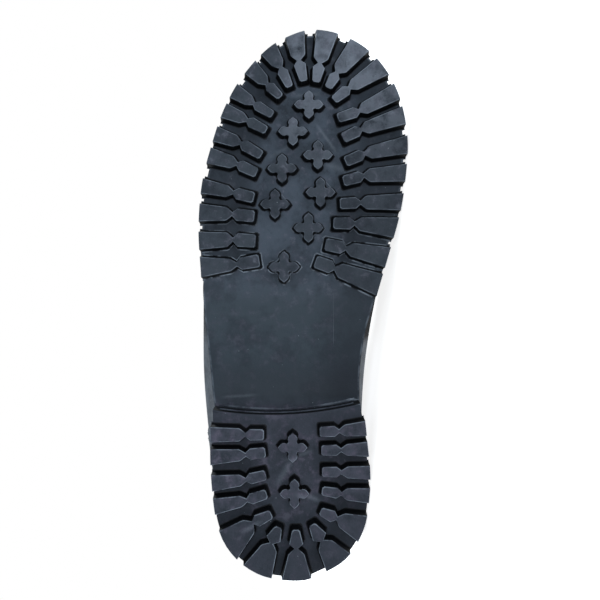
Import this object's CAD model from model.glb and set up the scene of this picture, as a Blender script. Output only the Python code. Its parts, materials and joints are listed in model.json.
"""Looks of an insulated work boot for the right foot, lying on its inner side.

The boot is worked out standing, in millimetres: x runs forward from the back of the heel, y towards the
inner (medial) side of the foot and z up from the ground. Stance lays every point down in the row frame.
"""

import json
import logging
import math
from dataclasses import dataclass, field
from enum import Enum
from typing import Callable

import bmesh
import bpy
import numpy as np
from mathutils import Matrix, Vector

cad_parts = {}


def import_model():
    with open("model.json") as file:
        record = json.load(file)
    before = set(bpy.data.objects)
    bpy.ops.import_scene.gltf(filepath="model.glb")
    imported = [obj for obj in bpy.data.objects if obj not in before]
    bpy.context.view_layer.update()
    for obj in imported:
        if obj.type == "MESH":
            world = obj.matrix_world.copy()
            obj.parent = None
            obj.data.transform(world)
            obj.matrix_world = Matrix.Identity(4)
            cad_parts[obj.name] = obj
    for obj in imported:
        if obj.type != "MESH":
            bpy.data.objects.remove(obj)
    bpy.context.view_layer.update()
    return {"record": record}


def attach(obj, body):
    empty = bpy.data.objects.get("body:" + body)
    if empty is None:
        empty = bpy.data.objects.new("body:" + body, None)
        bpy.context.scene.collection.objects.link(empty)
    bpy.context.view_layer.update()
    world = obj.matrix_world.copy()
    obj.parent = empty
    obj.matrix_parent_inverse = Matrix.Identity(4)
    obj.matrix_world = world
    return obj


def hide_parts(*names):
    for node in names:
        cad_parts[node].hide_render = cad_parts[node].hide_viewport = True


LOG = logging.getLogger("boot")
MM = 0.001
SEED = 7
PLACE = "place"  # the attribute that holds each point of the standing boot
Reals = float | np.ndarray
Material = bpy.types.Material

# --- driving sizes, in millimetres
GAP = 0.3
FEATHER_GAP = 0.7
LUG_HEIGHT, LUG_ROOT = 7.0, 3.5
LUG_DRAFT, HEEL_LUG_DRAFT = 0.13, 0.09
OUTSOLE_THICKNESS = 5.0
HEEL_SEAT = 20.0
SHANK_REAR, SHANK_FRONT = 104.0, 168.0
FEATHER_HEEL, FEATHER_BALL = 32.0, 20.0
TOE_SPRING = 13.5
SPRING_START, SPRING_END, SPRING_POWER = 215.0, 311.0, 1.8
MIDSOLE_INSET = 0.6
BREAST_LATERAL, BREAST_CENTRE, BREAST_MEDIAL = 93.8, 91.3, 97.4
WALL = 4.0
PANEL = 0.9  # leather laid over the upper
INSOLE_THICKNESS, INSOLE_CLEARANCE = 4.0, 1.8
TONGUE_THICKNESS, TONGUE_CLEARANCE = 5.0, 0.8
TONGUE_TUCK, TONGUE_TOP = 0.05, 1.06
THROAT_START, THROAT_ROUNDING = 0.40, 0.07
THROAT_HALF_WIDTH, THROAT_FLARE = 12.0, 4.0
EYELET_PAIRS = 7
EYELET_FROM_EDGE = 9.5
EYELET_FIRST, EYELET_LAST = 0.455, 0.945
EYELET_HOLE, EYELET_BARREL, EYELET_FLANGE = 2.5, 3.2, 5.4
LACE_RADIUS = 1.9
ROLL_DEG, YAW_DEG = -0.16, -6.44
HEEL_MARK = (48.3, 1.9, 0.0)  # where the record's mount heel_tread lies on the heel

# --- tables
# Edge of the sole, seen from above: x, y, along the outer side to the toe and back along the inner side.
SOLE_EDGE = (
    (0.0, 3.5), (2.9, -16.5), (14.0, -32.2), (31.0, -41.0), (60.0, -44.6), (90.0, -45.0),
    (118.0, -46.6), (147.0, -48.7), (170.0, -50.0), (195.0, -51.4), (220.0, -49.6), (242.0, -44.4),
    (263.0, -37.6), (282.0, -27.6), (299.5, -12.8), (308.4, 2.4),
    (310.8, 14.0), (308.0, 28.0), (300.0, 42.0), (287.5, 53.0), (270.5, 61.0), (248.0, 65.0),
    (225.0, 64.2), (203.0, 60.4), (180.0, 54.0), (158.0, 47.6), (135.0, 41.8), (108.0, 39.6),
    (82.0, 42.0), (56.0, 44.2), (32.0, 41.6), (13.0, 31.4), (3.0, 15.0),
)
# Lugs: the neck's x and y, headings of the outer and the inner block in degrees, length of the inner
# block, widths at the edge, at the outer and the inner shoulder and at the inner end.
FOREFOOT_LUGS = (
    (291.8, 4.4, -8, 167, 12.6, 11.1, 8.2, 6.6, 4.4),
    (287.4, -5.8, -32, 156, 12.4, 10.8, 7.2, 6.0, 4.2),
    (277.8, -13.6, -44, 135, 10.9, 9.6, 7.0, 6.0, 4.4),
    (266.2, -20.8, -57, 122, 12.3, 9.0, 6.4, 5.8, 4.6),
    (256.6, -24.6, -67, 119, 12.3, 8.8, 6.6, 6.0, 4.8),
    (243.5, -28.1, -70, 121, 13.5, 8.8, 6.8, 6.2, 5.2),
    (231.7, -30.0, -73, 115, 12.0, 9.0, 7.0, 6.2, 5.6),
    (215.7, -32.2, -78, 104, 11.9, 8.4, 6.4, 6.4, 6.0),
    (203.7, -32.7, -87, 96, 12.3, 9.7, 7.4, 6.6, 6.4),
    (189.6, -32.3, -92, 94, 12.5, 9.7, 8.0, 7.4, 7.2),
    (175.7, -30.2, -94, 80, 12.7, 11.2, 6.6, 6.6, 7.0),
    (290.1, 16.3, 13, 191, 11.4, 12.4, 8.2, 6.6, 4.4),
    (284.4, 25.9, 38, 209, 10.2, 12.8, 8.0, 6.2, 4.4),
    (275.4, 32.9, 56, 231, 11.3, 11.6, 7.0, 6.2, 4.8),
    (261.9, 38.3, 62, 251, 12.7, 9.6, 7.0, 6.2, 5.4),
    (251.2, 39.3, 71, 245, 11.4, 10.2, 7.0, 6.2, 5.8),
    (237.5, 41.1, 78, 247, 11.7, 10.0, 7.0, 6.2, 5.8),
    (225.1, 40.5, 86, 255, 11.8, 9.6, 7.4, 6.2, 5.8),
    (210.1, 38.6, 89, 267, 11.4, 9.2, 7.4, 6.2, 6.0),
    (198.5, 35.4, 96, 271, 11.8, 11.4, 7.4, 6.6, 6.2),
    (184.6, 30.5, 102, 282, 11.6, 11.4, 7.4, 7.0, 6.8),
    (173.5, 24.3, 110, 290, 11.4, 12.4, 8.0, 7.2, 6.8),
)
HEEL_LUGS = (
    (81.1, -25.4, -90, 90, 10.3, 8.4, 7.2, 6.2, 6.0),
    (70.0, -25.2, -94, 83, 11.0, 8.8, 6.4, 6.2, 5.8),
    (56.1, -25.0, -96, 76, 11.3, 8.9, 6.4, 6.2, 5.6),
    (44.7, -24.5, -101, 72, 11.5, 9.0, 6.2, 6.0, 5.4),
    (32.2, -21.2, -131, 65, 11.3, 19.0, 9.6, 6.8, 5.2),
    (20.9, -10.8, -154, 24, 9.7, 17.6, 9.4, 8.2, 4.4),
    (17.8, 2.9, 179, -1, 10.5, 16.6, 9.0, 7.6, 4.4),
    (22.2, 17.2, 143, -32, 10.5, 17.0, 9.4, 8.4, 4.4),
    (34.7, 25.5, 112, -67, 9.9, 15.6, 8.4, 6.6, 4.8),
    (48.3, 28.0, 94, -81, 10.9, 8.2, 6.8, 5.8, 5.0),
    (60.3, 28.0, 91, -89, 10.7, 7.6, 6.4, 5.8, 5.4),
    (72.6, 27.8, 88, -91, 10.9, 8.2, 6.4, 6.0, 5.6),
    (83.1, 26.8, 84, -92, 10.8, 8.2, 6.6, 6.0, 5.6),
)
NECK_HALF_WIDTH, SHOULDER_LENGTH, INNER_SHOULDER_LENGTH, CORNER_CUT = 1.0, 3.2, 2.6, 0.9
# Four-armed bosses: x, y and the reach of an arm.
FOREFOOT_BOSSES = (
    (265.7, 10.0, 8.2), (250.3, 1.1, 8.2), (236.8, 15.0, 8.2), (229.3, -5.0, 8.2),
    (215.9, 16.4, 8.2), (209.3, -8.9, 8.2), (196.2, 9.7, 8.2), (174.4, -3.9, 8.6),
)
HEEL_BOSSES = ((73.9, 0.9, 8.2), (48.3, 1.9, 8.2))
BOSS_QUARTER = (
    (1.0, 0.0), (0.92, 0.1), (0.8, 0.24), (0.68, 0.31), (0.54, 0.32), (0.42, 0.27), (0.3, 0.3),
    (0.27, 0.42), (0.32, 0.54), (0.31, 0.68), (0.24, 0.8), (0.1, 0.92),
)
BACK_PROFILE = (
    (7.0, 32.3), (3.6, 42.0), (2.4, 54.0), (3.4, 68.0), (6.6, 84.0), (9.8, 100.0),
    (11.2, 116.0), (11.0, 132.0), (9.6, 150.0), (8.4, 168.0),
)
FRONT_PROFILE = (
    (303.5, 31.9), (306.0, 42.0), (303.2, 55.0), (294.5, 66.5), (279.0, 75.5), (258.0, 82.0),
    (235.0, 88.0), (213.0, 95.5), (192.0, 105.0), (173.0, 116.5), (156.0, 129.5), (143.0, 144.0),
    (134.0, 159.5), (128.5, 175.0),
)
# Sides of the foot where it bulges most: x, lateral y, medial y.
FOOT_SIDES = (
    (0.0, -43.0, 42.5), (40.0, -46.5, 43.0), (80.0, -51.2, 43.2), (110.0, -53.6, 45.0),
    (140.0, -53.6, 48.8), (170.0, -52.8, 54.5), (200.0, -51.4, 59.5), (235.0, -48.5, 62.0),
    (270.0, -44.0, 59.5), (305.0, -40.0, 54.0),
)
# Sides of the ankle and shaft: z, lateral y, medial y.
SHAFT_SIDES = ((80.0, -41.5, 40.5), (105.0, -41.0, 40.0), (135.0, -42.5, 41.5), (170.0, -46.0, 45.0))
FOOT_TO_SHAFT = (52.0, 108.0)
MIDDLE_LINE = ((0.0, 1.0), (90.0, 1.0), (140.0, 3.5), (200.0, 8.0), (250.0, 12.0), (306.0, 14.5))
MIDDLE_FADE = (65.0, 150.0)
# Rounding of the rings: share of the way up, length of the rounding at the front and at the back.
RING_ROUNDING = (
    (0.0, 78.0, 50.0), (0.15, 84.0, 48.0), (0.3, 118.0, 47.0), (0.45, 112.0, 46.0),
    (0.6, 86.0, 46.0), (0.78, 64.0, 50.0), (1.0, 60.0, 56.0),
)
FEATHER_BLEND = 0.12
FEATHER_INSET = ((0.0, 5.0), (60.0, 3.5), (110.0, 2.0), (150.0, 2.0), (200.0, 5.0), (313.0, 7.5))


class Side(Enum):
    """Side of the foot."""

    LATERAL = -1
    MEDIAL = 1


# --- small mathematics
def smooth_step(value: Reals) -> Reals:
    """An S-curve from 0 to 1."""
    value = np.clip(value, 0.0, 1.0)
    return value * value * (3.0 - 2.0 * value)


def mix(first: Reals, second: Reals, share: Reals) -> Reals:
    """The value a share of the way from first to second."""
    return first + (second - first) * share


def bump(offset: Reals, width: float) -> Reals:
    """A soft bell of height 1 about zero."""
    return np.exp(-((offset / width) ** 2))


def quarter_round(distance: Reals, reach: float) -> Reals:
    """Share of the full height, at a distance from an edge that rounds over within a reach."""
    share = np.clip(distance / reach, 0.0, 1.0)
    return np.sqrt(1.0 - (1.0 - share) ** 2)


def run_lengths(path: np.ndarray) -> np.ndarray:
    """Distance along a path at each of its points."""
    return np.concatenate([[0.0], np.cumsum(np.linalg.norm(np.diff(path, axis=0), axis=1))])


class SmoothTable:
    """A smooth curve through one column of a table, read at values of its first column."""

    def __init__(self, rows: tuple, column: int = 1) -> None:
        """Args:
            rows: table rows, in rising order of their first value.
            column: the column that is read.
        """
        self.keys = np.array([row[0] for row in rows], float)
        self.values = np.array([row[column] for row in rows], float)
        steps = np.arange(len(rows))
        low, high = np.maximum(steps - 1, 0), np.minimum(steps + 1, len(rows) - 1)
        self.slopes = (self.values[high] - self.values[low]) / (self.keys[high] - self.keys[low])

    def __call__(self, at: Reals) -> Reals:
        """The curve's values.

        Args:
            at: a number or an array of numbers.

        Returns:
            An array of the same shape.
        """
        at = np.clip(at, self.keys[0], self.keys[-1])
        i = np.clip(np.searchsorted(self.keys, at, side="right") - 1, 0, len(self.keys) - 2)
        span = self.keys[i + 1] - self.keys[i]
        u = (at - self.keys[i]) / span
        return (
            (2 * u**3 - 3 * u**2 + 1) * self.values[i]
            + (u**3 - 2 * u**2 + u) * span * self.slopes[i]
            + (3 * u**2 - 2 * u**3) * self.values[i + 1]
            + (u**3 - u**2) * span * self.slopes[i + 1]
        )


def catmull_rom(before: Reals, start: Reals, end: Reals, after: Reals, u: float) -> Reals:
    """A point a share u of the way from start to end, on a smooth curve through four points."""
    return 0.5 * (
        2 * start
        + (end - before) * u
        + (2 * before - 5 * start + 4 * end - after) * u**2
        + (3 * start - before - 3 * end + after) * u**3
    )


class Profile:
    """An open smooth curve through points, read by its share of the length."""

    STEPS = 16

    def __init__(self, points: tuple) -> None:
        """Args:
            points: the points that the curve passes through.
        """
        rows = [np.array(p, float) for p in points]
        rows = [2 * rows[0] - rows[1], *rows, 2 * rows[-1] - rows[-2]]
        fine = [rows[1]]
        for i in range(1, len(rows) - 2):
            fine += [catmull_rom(*rows[i - 1 : i + 3], s / self.STEPS) for s in range(1, self.STEPS + 1)]
        self.points = np.array(fine)
        runs = run_lengths(self.points)
        self.length = float(runs[-1])
        self.shares = runs / self.length

    def at(self, share: Reals) -> np.ndarray:
        """Points at shares of the length, with the coordinates on the last axis."""
        return np.stack([np.interp(share, self.shares, column) for column in self.points.T], axis=-1)

    def evenly(self, step: float) -> np.ndarray:
        """Points about a step apart along the whole curve."""
        return self.at(np.linspace(0.0, 1.0, max(int(self.length / step), 2)))


class Outline:
    """A closed edge seen from above."""

    STEPS = 10

    def __init__(self, points: list | np.ndarray) -> None:
        """Args:
            points: x and y of the edge, lateral side first.
        """
        self.points = np.array(points, float)
        rear, front = int(self.points[:, 0].argmin()), int(self.points[:, 0].argmax())
        rolled = np.roll(self.points, -rear, axis=0)
        front = (front - rear) % len(rolled)
        self.sides = {
            Side.LATERAL: rolled[: front + 1],
            Side.MEDIAL: np.vstack([rolled[front:], rolled[:1]])[::-1],
        }
        self.rear, self.front = rolled[0], rolled[front]

    @classmethod
    def through(cls, rows: tuple) -> "Outline":
        """A smooth outline through the rows of a table.

        Args:
            rows: x and y of the edge.

        Returns:
            The outline.
        """
        rows = np.array(rows, float)
        count = len(rows)
        fine = []
        for i in range(count):
            near = [rows[(i + k) % count] for k in (-1, 0, 1, 2)]
            fine.extend(catmull_rom(*near, step / cls.STEPS) for step in range(cls.STEPS))
        return cls(fine)

    def inward(self) -> np.ndarray:
        """The inward direction at each point.

        Returns:
            One direction of length 1 for each point.
        """
        along = np.roll(self.points, -1, axis=0) - np.roll(self.points, 1, axis=0)
        inward = np.stack([-along[:, 1], along[:, 0]], axis=1)
        return inward / np.linalg.norm(inward, axis=1)[:, None]

    def inset(self, distance: Reals) -> "Outline":
        """The outline moved inwards by a distance, or by a distance for each point."""
        depth = np.broadcast_to(distance, len(self.points))
        return Outline(self.points + self.inward() * depth[:, None])

    def y(self, x: Reals, side: Side) -> Reals:
        """The y of one side at x."""
        return np.interp(x, self.sides[side][:, 0], self.sides[side][:, 1])

    def reach(self, start: np.ndarray, heading: np.ndarray) -> float:
        """Distance from a point inside, along a heading, to the edge.

        Args:
            start: the point.
            heading: the heading, of length 1.

        Returns:
            The distance.
        """
        ends = np.roll(self.points, -1, axis=0) - self.points
        offset = self.points - start
        cross = heading[0] * ends[:, 1] - heading[1] * ends[:, 0]
        cross = np.where(abs(cross) < 1e-12, 1e-12, cross)
        distance = (offset[:, 0] * ends[:, 1] - offset[:, 1] * ends[:, 0]) / cross
        share = (offset[:, 0] * heading[1] - offset[:, 1] * heading[0]) / cross
        return float(distance[(distance > 0) & (share >= 0) & (share < 1)].min())


# --- heights of the sole's layers
def tread(x: Reals) -> Reals:
    """Height of the wearing face above the ground."""
    share = np.maximum((np.asarray(x, float) - SPRING_START) / (SPRING_END - SPRING_START), 0.0)
    return TOE_SPRING * share**SPRING_POWER


def arch(x: Reals) -> Reals:
    """How far the sole has risen from the ball, at 0, to the heel seat, at 1."""
    return 1.0 - smooth_step((np.asarray(x, float) - SHANK_REAR) / (SHANK_FRONT - SHANK_REAR))


def outsole_bottom(x: Reals) -> Reals:
    """Height of the rubber between the lugs."""
    return LUG_HEIGHT + tread(x) + (HEEL_SEAT + GAP - LUG_HEIGHT) * arch(x)


def outsole_top(x: Reals) -> Reals:
    """Height of the outsole's upper face."""
    return outsole_bottom(x) + OUTSOLE_THICKNESS


def midsole_bottom(x: Reals) -> Reals:
    """Underside of the midsole."""
    return outsole_top(x) + GAP


def feather_line(x: Reals) -> Reals:
    """Top of the midsole, on which the upper stands."""
    return FEATHER_BALL + tread(x) + (FEATHER_HEEL - FEATHER_BALL) * arch(x)


def insole_bottom(x: Reals) -> Reals:
    """Underside of the footbed."""
    return feather_line(x) + FEATHER_GAP


def insole_top(x: Reals) -> Reals:
    """Upper face of the footbed."""
    return insole_bottom(x) + INSOLE_THICKNESS


def breast(share: Reals) -> Reals:
    """Front face of the heel, by the share of the way across from the outer side."""
    bow = BREAST_CENTRE - (BREAST_LATERAL + BREAST_MEDIAL) / 2
    return mix(BREAST_LATERAL, BREAST_MEDIAL, share) + bow * 4 * share * (1 - share)


SOLE = Outline.through(SOLE_EDGE)
FEATHER = SOLE.inset(SmoothTable(FEATHER_INSET)(SOLE.points[:, 0]))


# --- creases
@dataclass(frozen=True)
class Crease:
    """A soft trough with a ridge beside it, across the vamp or round the ankle.

    It runs where along + bow * across**2 + lean * across is at. On the vamp along is x and across is
    the distance from the middle line, and on the shaft along is z and across the share round the ring.
    It fades out within reach of the middle.
    """

    at: float
    depth: float
    width: float
    bow: float
    lean: float
    middle: float
    reach: float

    def push(self, along: Reals, across: Reals) -> Reals:
        """How far the surface stands proud here.

        Args:
            along, across: the place.

        Returns:
            Millimetres, negative in the trough.
        """
        offset = along - self.at + self.bow * across**2 + self.lean * across
        fade = bump(across - self.middle, self.reach)
        ridge = 0.45 * bump(offset - 2.0 * self.width, 1.3 * self.width)
        ridge = ridge + 0.3 * bump(offset + 2.1 * self.width, 1.4 * self.width)
        return self.depth * fade * (ridge - bump(offset, self.width))


# Creases: at, depth, width, bow, lean, middle and reach.
VAMP_CREASES = (
    Crease(226.0, 2.3, 4.6, 0.004, 0.10, -32.0, 24.0),
    Crease(211.0, 1.9, 3.8, 0.005, 0.02, -30.0, 22.0),
    Crease(240.0, 1.3, 4.4, 0.003, 0.16, -26.0, 18.0),
    Crease(229.0, 2.3, 4.8, 0.004, -0.08, 42.0, 24.0),
    Crease(213.0, 1.7, 3.8, 0.005, -0.04, 38.0, 22.0),
    Crease(256.0, 0.9, 4.6, 0.005, -0.05, 8.0, 30.0),
)
ANKLE_CREASES = (
    Crease(97.0, 2.1, 5.0, 46.0, 4.0, 0.02, 0.34),
    Crease(112.0, 1.7, 4.4, 30.0, -5.0, -0.03, 0.30),
    Crease(84.0, 1.0, 3.8, 52.0, -8.0, -0.1, 0.24),
    Crease(126.0, 1.1, 4.4, 12.0, 8.0, 0.1, 0.4),
    Crease(112.0, 1.7, 4.6, -10.0, 26.0, -0.60, 0.17),
    Crease(100.0, 1.1, 4.0, -6.0, 30.0, -0.56, 0.15),
    Crease(108.0, 1.6, 4.4, -10.0, -26.0, 0.60, 0.17),
    Crease(96.0, 1.0, 3.8, -6.0, -30.0, 0.57, 0.15),
)


class Last:
    """The upper's own form, open at the top."""

    def __init__(self) -> None:
        """Reads the tables of sections."""
        self.back, self.front = Profile(BACK_PROFILE), Profile(FRONT_PROFILE)
        self.middle_line = SmoothTable(MIDDLE_LINE)
        self.foot = {side: SmoothTable(FOOT_SIDES, 1 + (side is Side.MEDIAL)) for side in Side}
        self.shaft = {side: SmoothTable(SHAFT_SIDES, 1 + (side is Side.MEDIAL)) for side in Side}
        self.front_rounding = SmoothTable(RING_ROUNDING, 1)
        self.back_rounding = SmoothTable(RING_ROUNDING, 2)

    @staticmethod
    def rounding(distance: Reals, length: Reals) -> Reals:
        """How full a ring is at a distance from its end, where it rounds over a length."""
        power = 2.15
        return (1.0 - (1.0 - np.minimum(distance / length, 1.0)) ** power) ** (1.0 / power)

    def half_widths(self, x: Reals, z: Reals, side: Reals) -> tuple:
        """The middle line and the half-width to one side of it.

        Args:
            x, z: places, as arrays.
            side: -1 or 1 for each place.

        Returns:
            The middle line's y and the half-width, as arrays.
        """
        shaft_share = smooth_step((z - FOOT_TO_SHAFT[0]) / (FOOT_TO_SHAFT[1] - FOOT_TO_SHAFT[0]))
        middle_share = smooth_step((z - MIDDLE_FADE[0]) / (MIDDLE_FADE[1] - MIDDLE_FADE[0]))
        line = self.middle_line(x)
        inner = side > 0
        foot = np.where(inner, self.foot[Side.MEDIAL](x), self.foot[Side.LATERAL](x))
        shaft = np.where(inner, self.shaft[Side.MEDIAL](z), self.shaft[Side.LATERAL](z))
        return line * (1.0 - middle_share), mix(abs(foot - line), abs(shaft), shaft_share)

    def on_ring(self, height: Reals, around: Reals) -> np.ndarray:
        """Points of the outer face, without creases.

        Args:
            height: 0 at the feather line to 1 at the collar.
            around: 0 at the back, to -1 at the front past the outer side and 1 past the inner side.

        Returns:
            An array of points.
        """
        height, around = np.broadcast_arrays(np.asarray(height, float), np.asarray(around, float))
        around = (around + 1.0) % 2.0 - 1.0
        side = np.where(around >= 0, 1.0, -1.0)
        back, front = self.back.at(height), self.front.at(height)
        along = (1.0 - np.cos(np.pi * abs(around))) / 2.0
        place = back + along[..., None] * (front - back)
        x, z = place[..., 0], place[..., 1]
        length = np.hypot(*np.moveaxis(front - back, -1, 0))
        foot_z = mix(self.back.points[0][1], self.front.points[0][1], along)
        sag = feather_line(x) + FEATHER_GAP - foot_z
        z = z + sag * (1.0 - smooth_step(height / (2.0 * FEATHER_BLEND)))
        middle, half = self.half_widths(x, z, side)
        half = half * self.rounding((1.0 - along) * length, self.front_rounding(height))
        half = half * self.rounding(along * length, self.back_rounding(height))
        y = middle + side * half
        foot_x = mix(FEATHER.rear[0], FEATHER.front[0], along)
        foot_y = np.where(side > 0, FEATHER.y(foot_x, Side.MEDIAL), FEATHER.y(foot_x, Side.LATERAL))
        share = smooth_step(height / FEATHER_BLEND)
        return np.stack([mix(foot_x, x, share), mix(foot_y, y, share), z], axis=-1)

    def creased(self, points: np.ndarray, around: np.ndarray) -> np.ndarray:
        """How far the creases push each point out.

        Args:
            points: points of the outer face.
            around: their shares round the ring.

        Returns:
            Millimetres.
        """
        x, y, z = np.moveaxis(points, -1, 0)
        across = y - self.middle_line(x)
        around = (around + 1.0) % 2.0 - 1.0
        lift = smooth_step((z - 40.0) / 22.0)
        total = sum(lift * crease.push(x, across) for crease in VAMP_CREASES)
        return total + sum(crease.push(z, around) for crease in ANKLE_CREASES)

    def surface(self, height: Reals, around: Reals, depth: Reals = 0.0) -> np.ndarray:
        """Points at a depth under the creased outer face. The ends are carried straight on.

        Args:
            height, around: as for on_ring.
            depth: distance inwards, in millimetres.

        Returns:
            An array of points.
        """
        height, around = np.broadcast_arrays(np.asarray(height, float), np.asarray(around, float))
        step = 1e-3
        inside = np.clip(height, step, 1.0 - step)
        rise = (self.on_ring(inside + step, around) - self.on_ring(inside - step, around)) / (2 * step)
        turn = self.on_ring(inside, around + step) - self.on_ring(inside, around - step)
        normal = np.cross(rise, turn)
        level = (height <= step) | (height >= 1.0 - step)
        normal[..., 2] = np.where(level, 0.0, normal[..., 2])
        normal /= np.linalg.norm(normal, axis=-1)[..., None]
        end = np.clip(height, 0.0, 1.0)
        base = self.on_ring(end, around)
        push = self.creased(base, around) - depth
        return base + rise * (height - end)[..., None] + normal * np.asarray(push)[..., None]

    def around_at(self, height: Reals, width: Reals, side: Reals) -> np.ndarray:
        """Where a ring is a given width from its middle line, on one side of the front.

        Args:
            height, width: numbers or arrays.
            side: -1 or 1, or an array of them.

        Returns:
            The share round the ring, signed by side.
        """
        height, width, side = np.broadcast_arrays(height, np.asarray(width, float), side)
        height = np.minimum(height, 1.0)
        low, high = np.full(height.shape, 0.5), np.full(height.shape, 1.0)
        for _ in range(24):
            trial = (low + high) / 2
            place = self.on_ring(height, side * trial * (1 - 1e-9))
            middle, _ = self.half_widths(place[..., 0], place[..., 2], side)
            wider = abs(place[..., 1] - middle) > width
            low, high = np.where(wider, trial, low), np.where(wider, high, trial)
        return side * low

    def over_throat(self, height: Reals, width: Reals, lift: Reals) -> np.ndarray:
        """Points at a signed distance from the middle of the front, lifted off the upper's face.

        Args:
            height: share of the way up.
            width: negative on the outer side.
            lift: distance off the face.

        Returns:
            An array of points.
        """
        side = np.where(np.asarray(width) >= 0, 1.0, -1.0)
        around = self.around_at(height, abs(np.asarray(width, float)), side)
        return self.surface(height, around, -np.asarray(lift, float))


def throat_half_width(height: Reals) -> Reals:
    """Half of the opening under the laces, 0 below the throat."""
    above = np.maximum(np.asarray(height, float) - THROAT_START, 0.0)
    return THROAT_HALF_WIDTH * quarter_round(above, THROAT_ROUNDING) + THROAT_FLARE * above


LAST = Last()


# --- placing
class Stance:
    """Turns points of the standing boot, in millimetres, into the row frame, in metres."""

    settle = 1.0 * MM

    def __init__(self, record: dict) -> None:
        """Args:
            record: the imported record, whose mount on the heel fixes the place.
        """
        stand = np.array(((1, 0, 0), (0, 0, 1), (0, -1, 0)), float)
        roll = np.array(Matrix.Rotation(math.radians(ROLL_DEG), 3, "X"))
        yaw = np.array(Matrix.Rotation(math.radians(YAW_DEG), 3, "Y"))
        self.turn = yaw @ roll @ stand
        mount = next(m for m in record["mounts"] if m["name"] == "heel_tread")
        self.place = np.array(mount["pos_m"]) - self.turn @ np.array(HEEL_MARK) * MM

    def __call__(self, points: list | np.ndarray) -> np.ndarray:
        """Row-frame points, in metres, pressed flat where they would go under the floor.

        Args:
            points: points of the standing boot, in millimetres.

        Returns:
            The points as they lie.
        """
        placed = np.asarray(points, float) * MM @ self.turn.T + self.place
        height = placed[..., 2]
        pressed = self.settle * np.exp(np.minimum(height / self.settle - 1.0, 0.0))
        placed[..., 2] = np.where(height < self.settle, pressed, height)
        return placed

    def direction(self, vector: tuple) -> Vector:
        """A direction of the standing boot in the row frame."""
        return Vector(self.turn @ np.array(vector, float))


# --- meshes
def add_object(name: str, data: bpy.types.ID) -> bpy.types.Object:
    """An object in the scene.

    Args:
        name: its name.
        data: its mesh, lamp or camera.

    Returns:
        The object.
    """
    made = bpy.data.objects.new(name, data)
    bpy.context.scene.collection.objects.link(made)
    return made


def keep_result(made: bpy.types.Object) -> None:
    """Makes the result of the modifiers the object's mesh.

    Args:
        made: the object.
    """
    graph = bpy.context.evaluated_depsgraph_get()
    mesh = bpy.data.meshes.new_from_object(made.evaluated_get(graph))
    made.modifiers.clear()
    made.data = mesh


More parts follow.
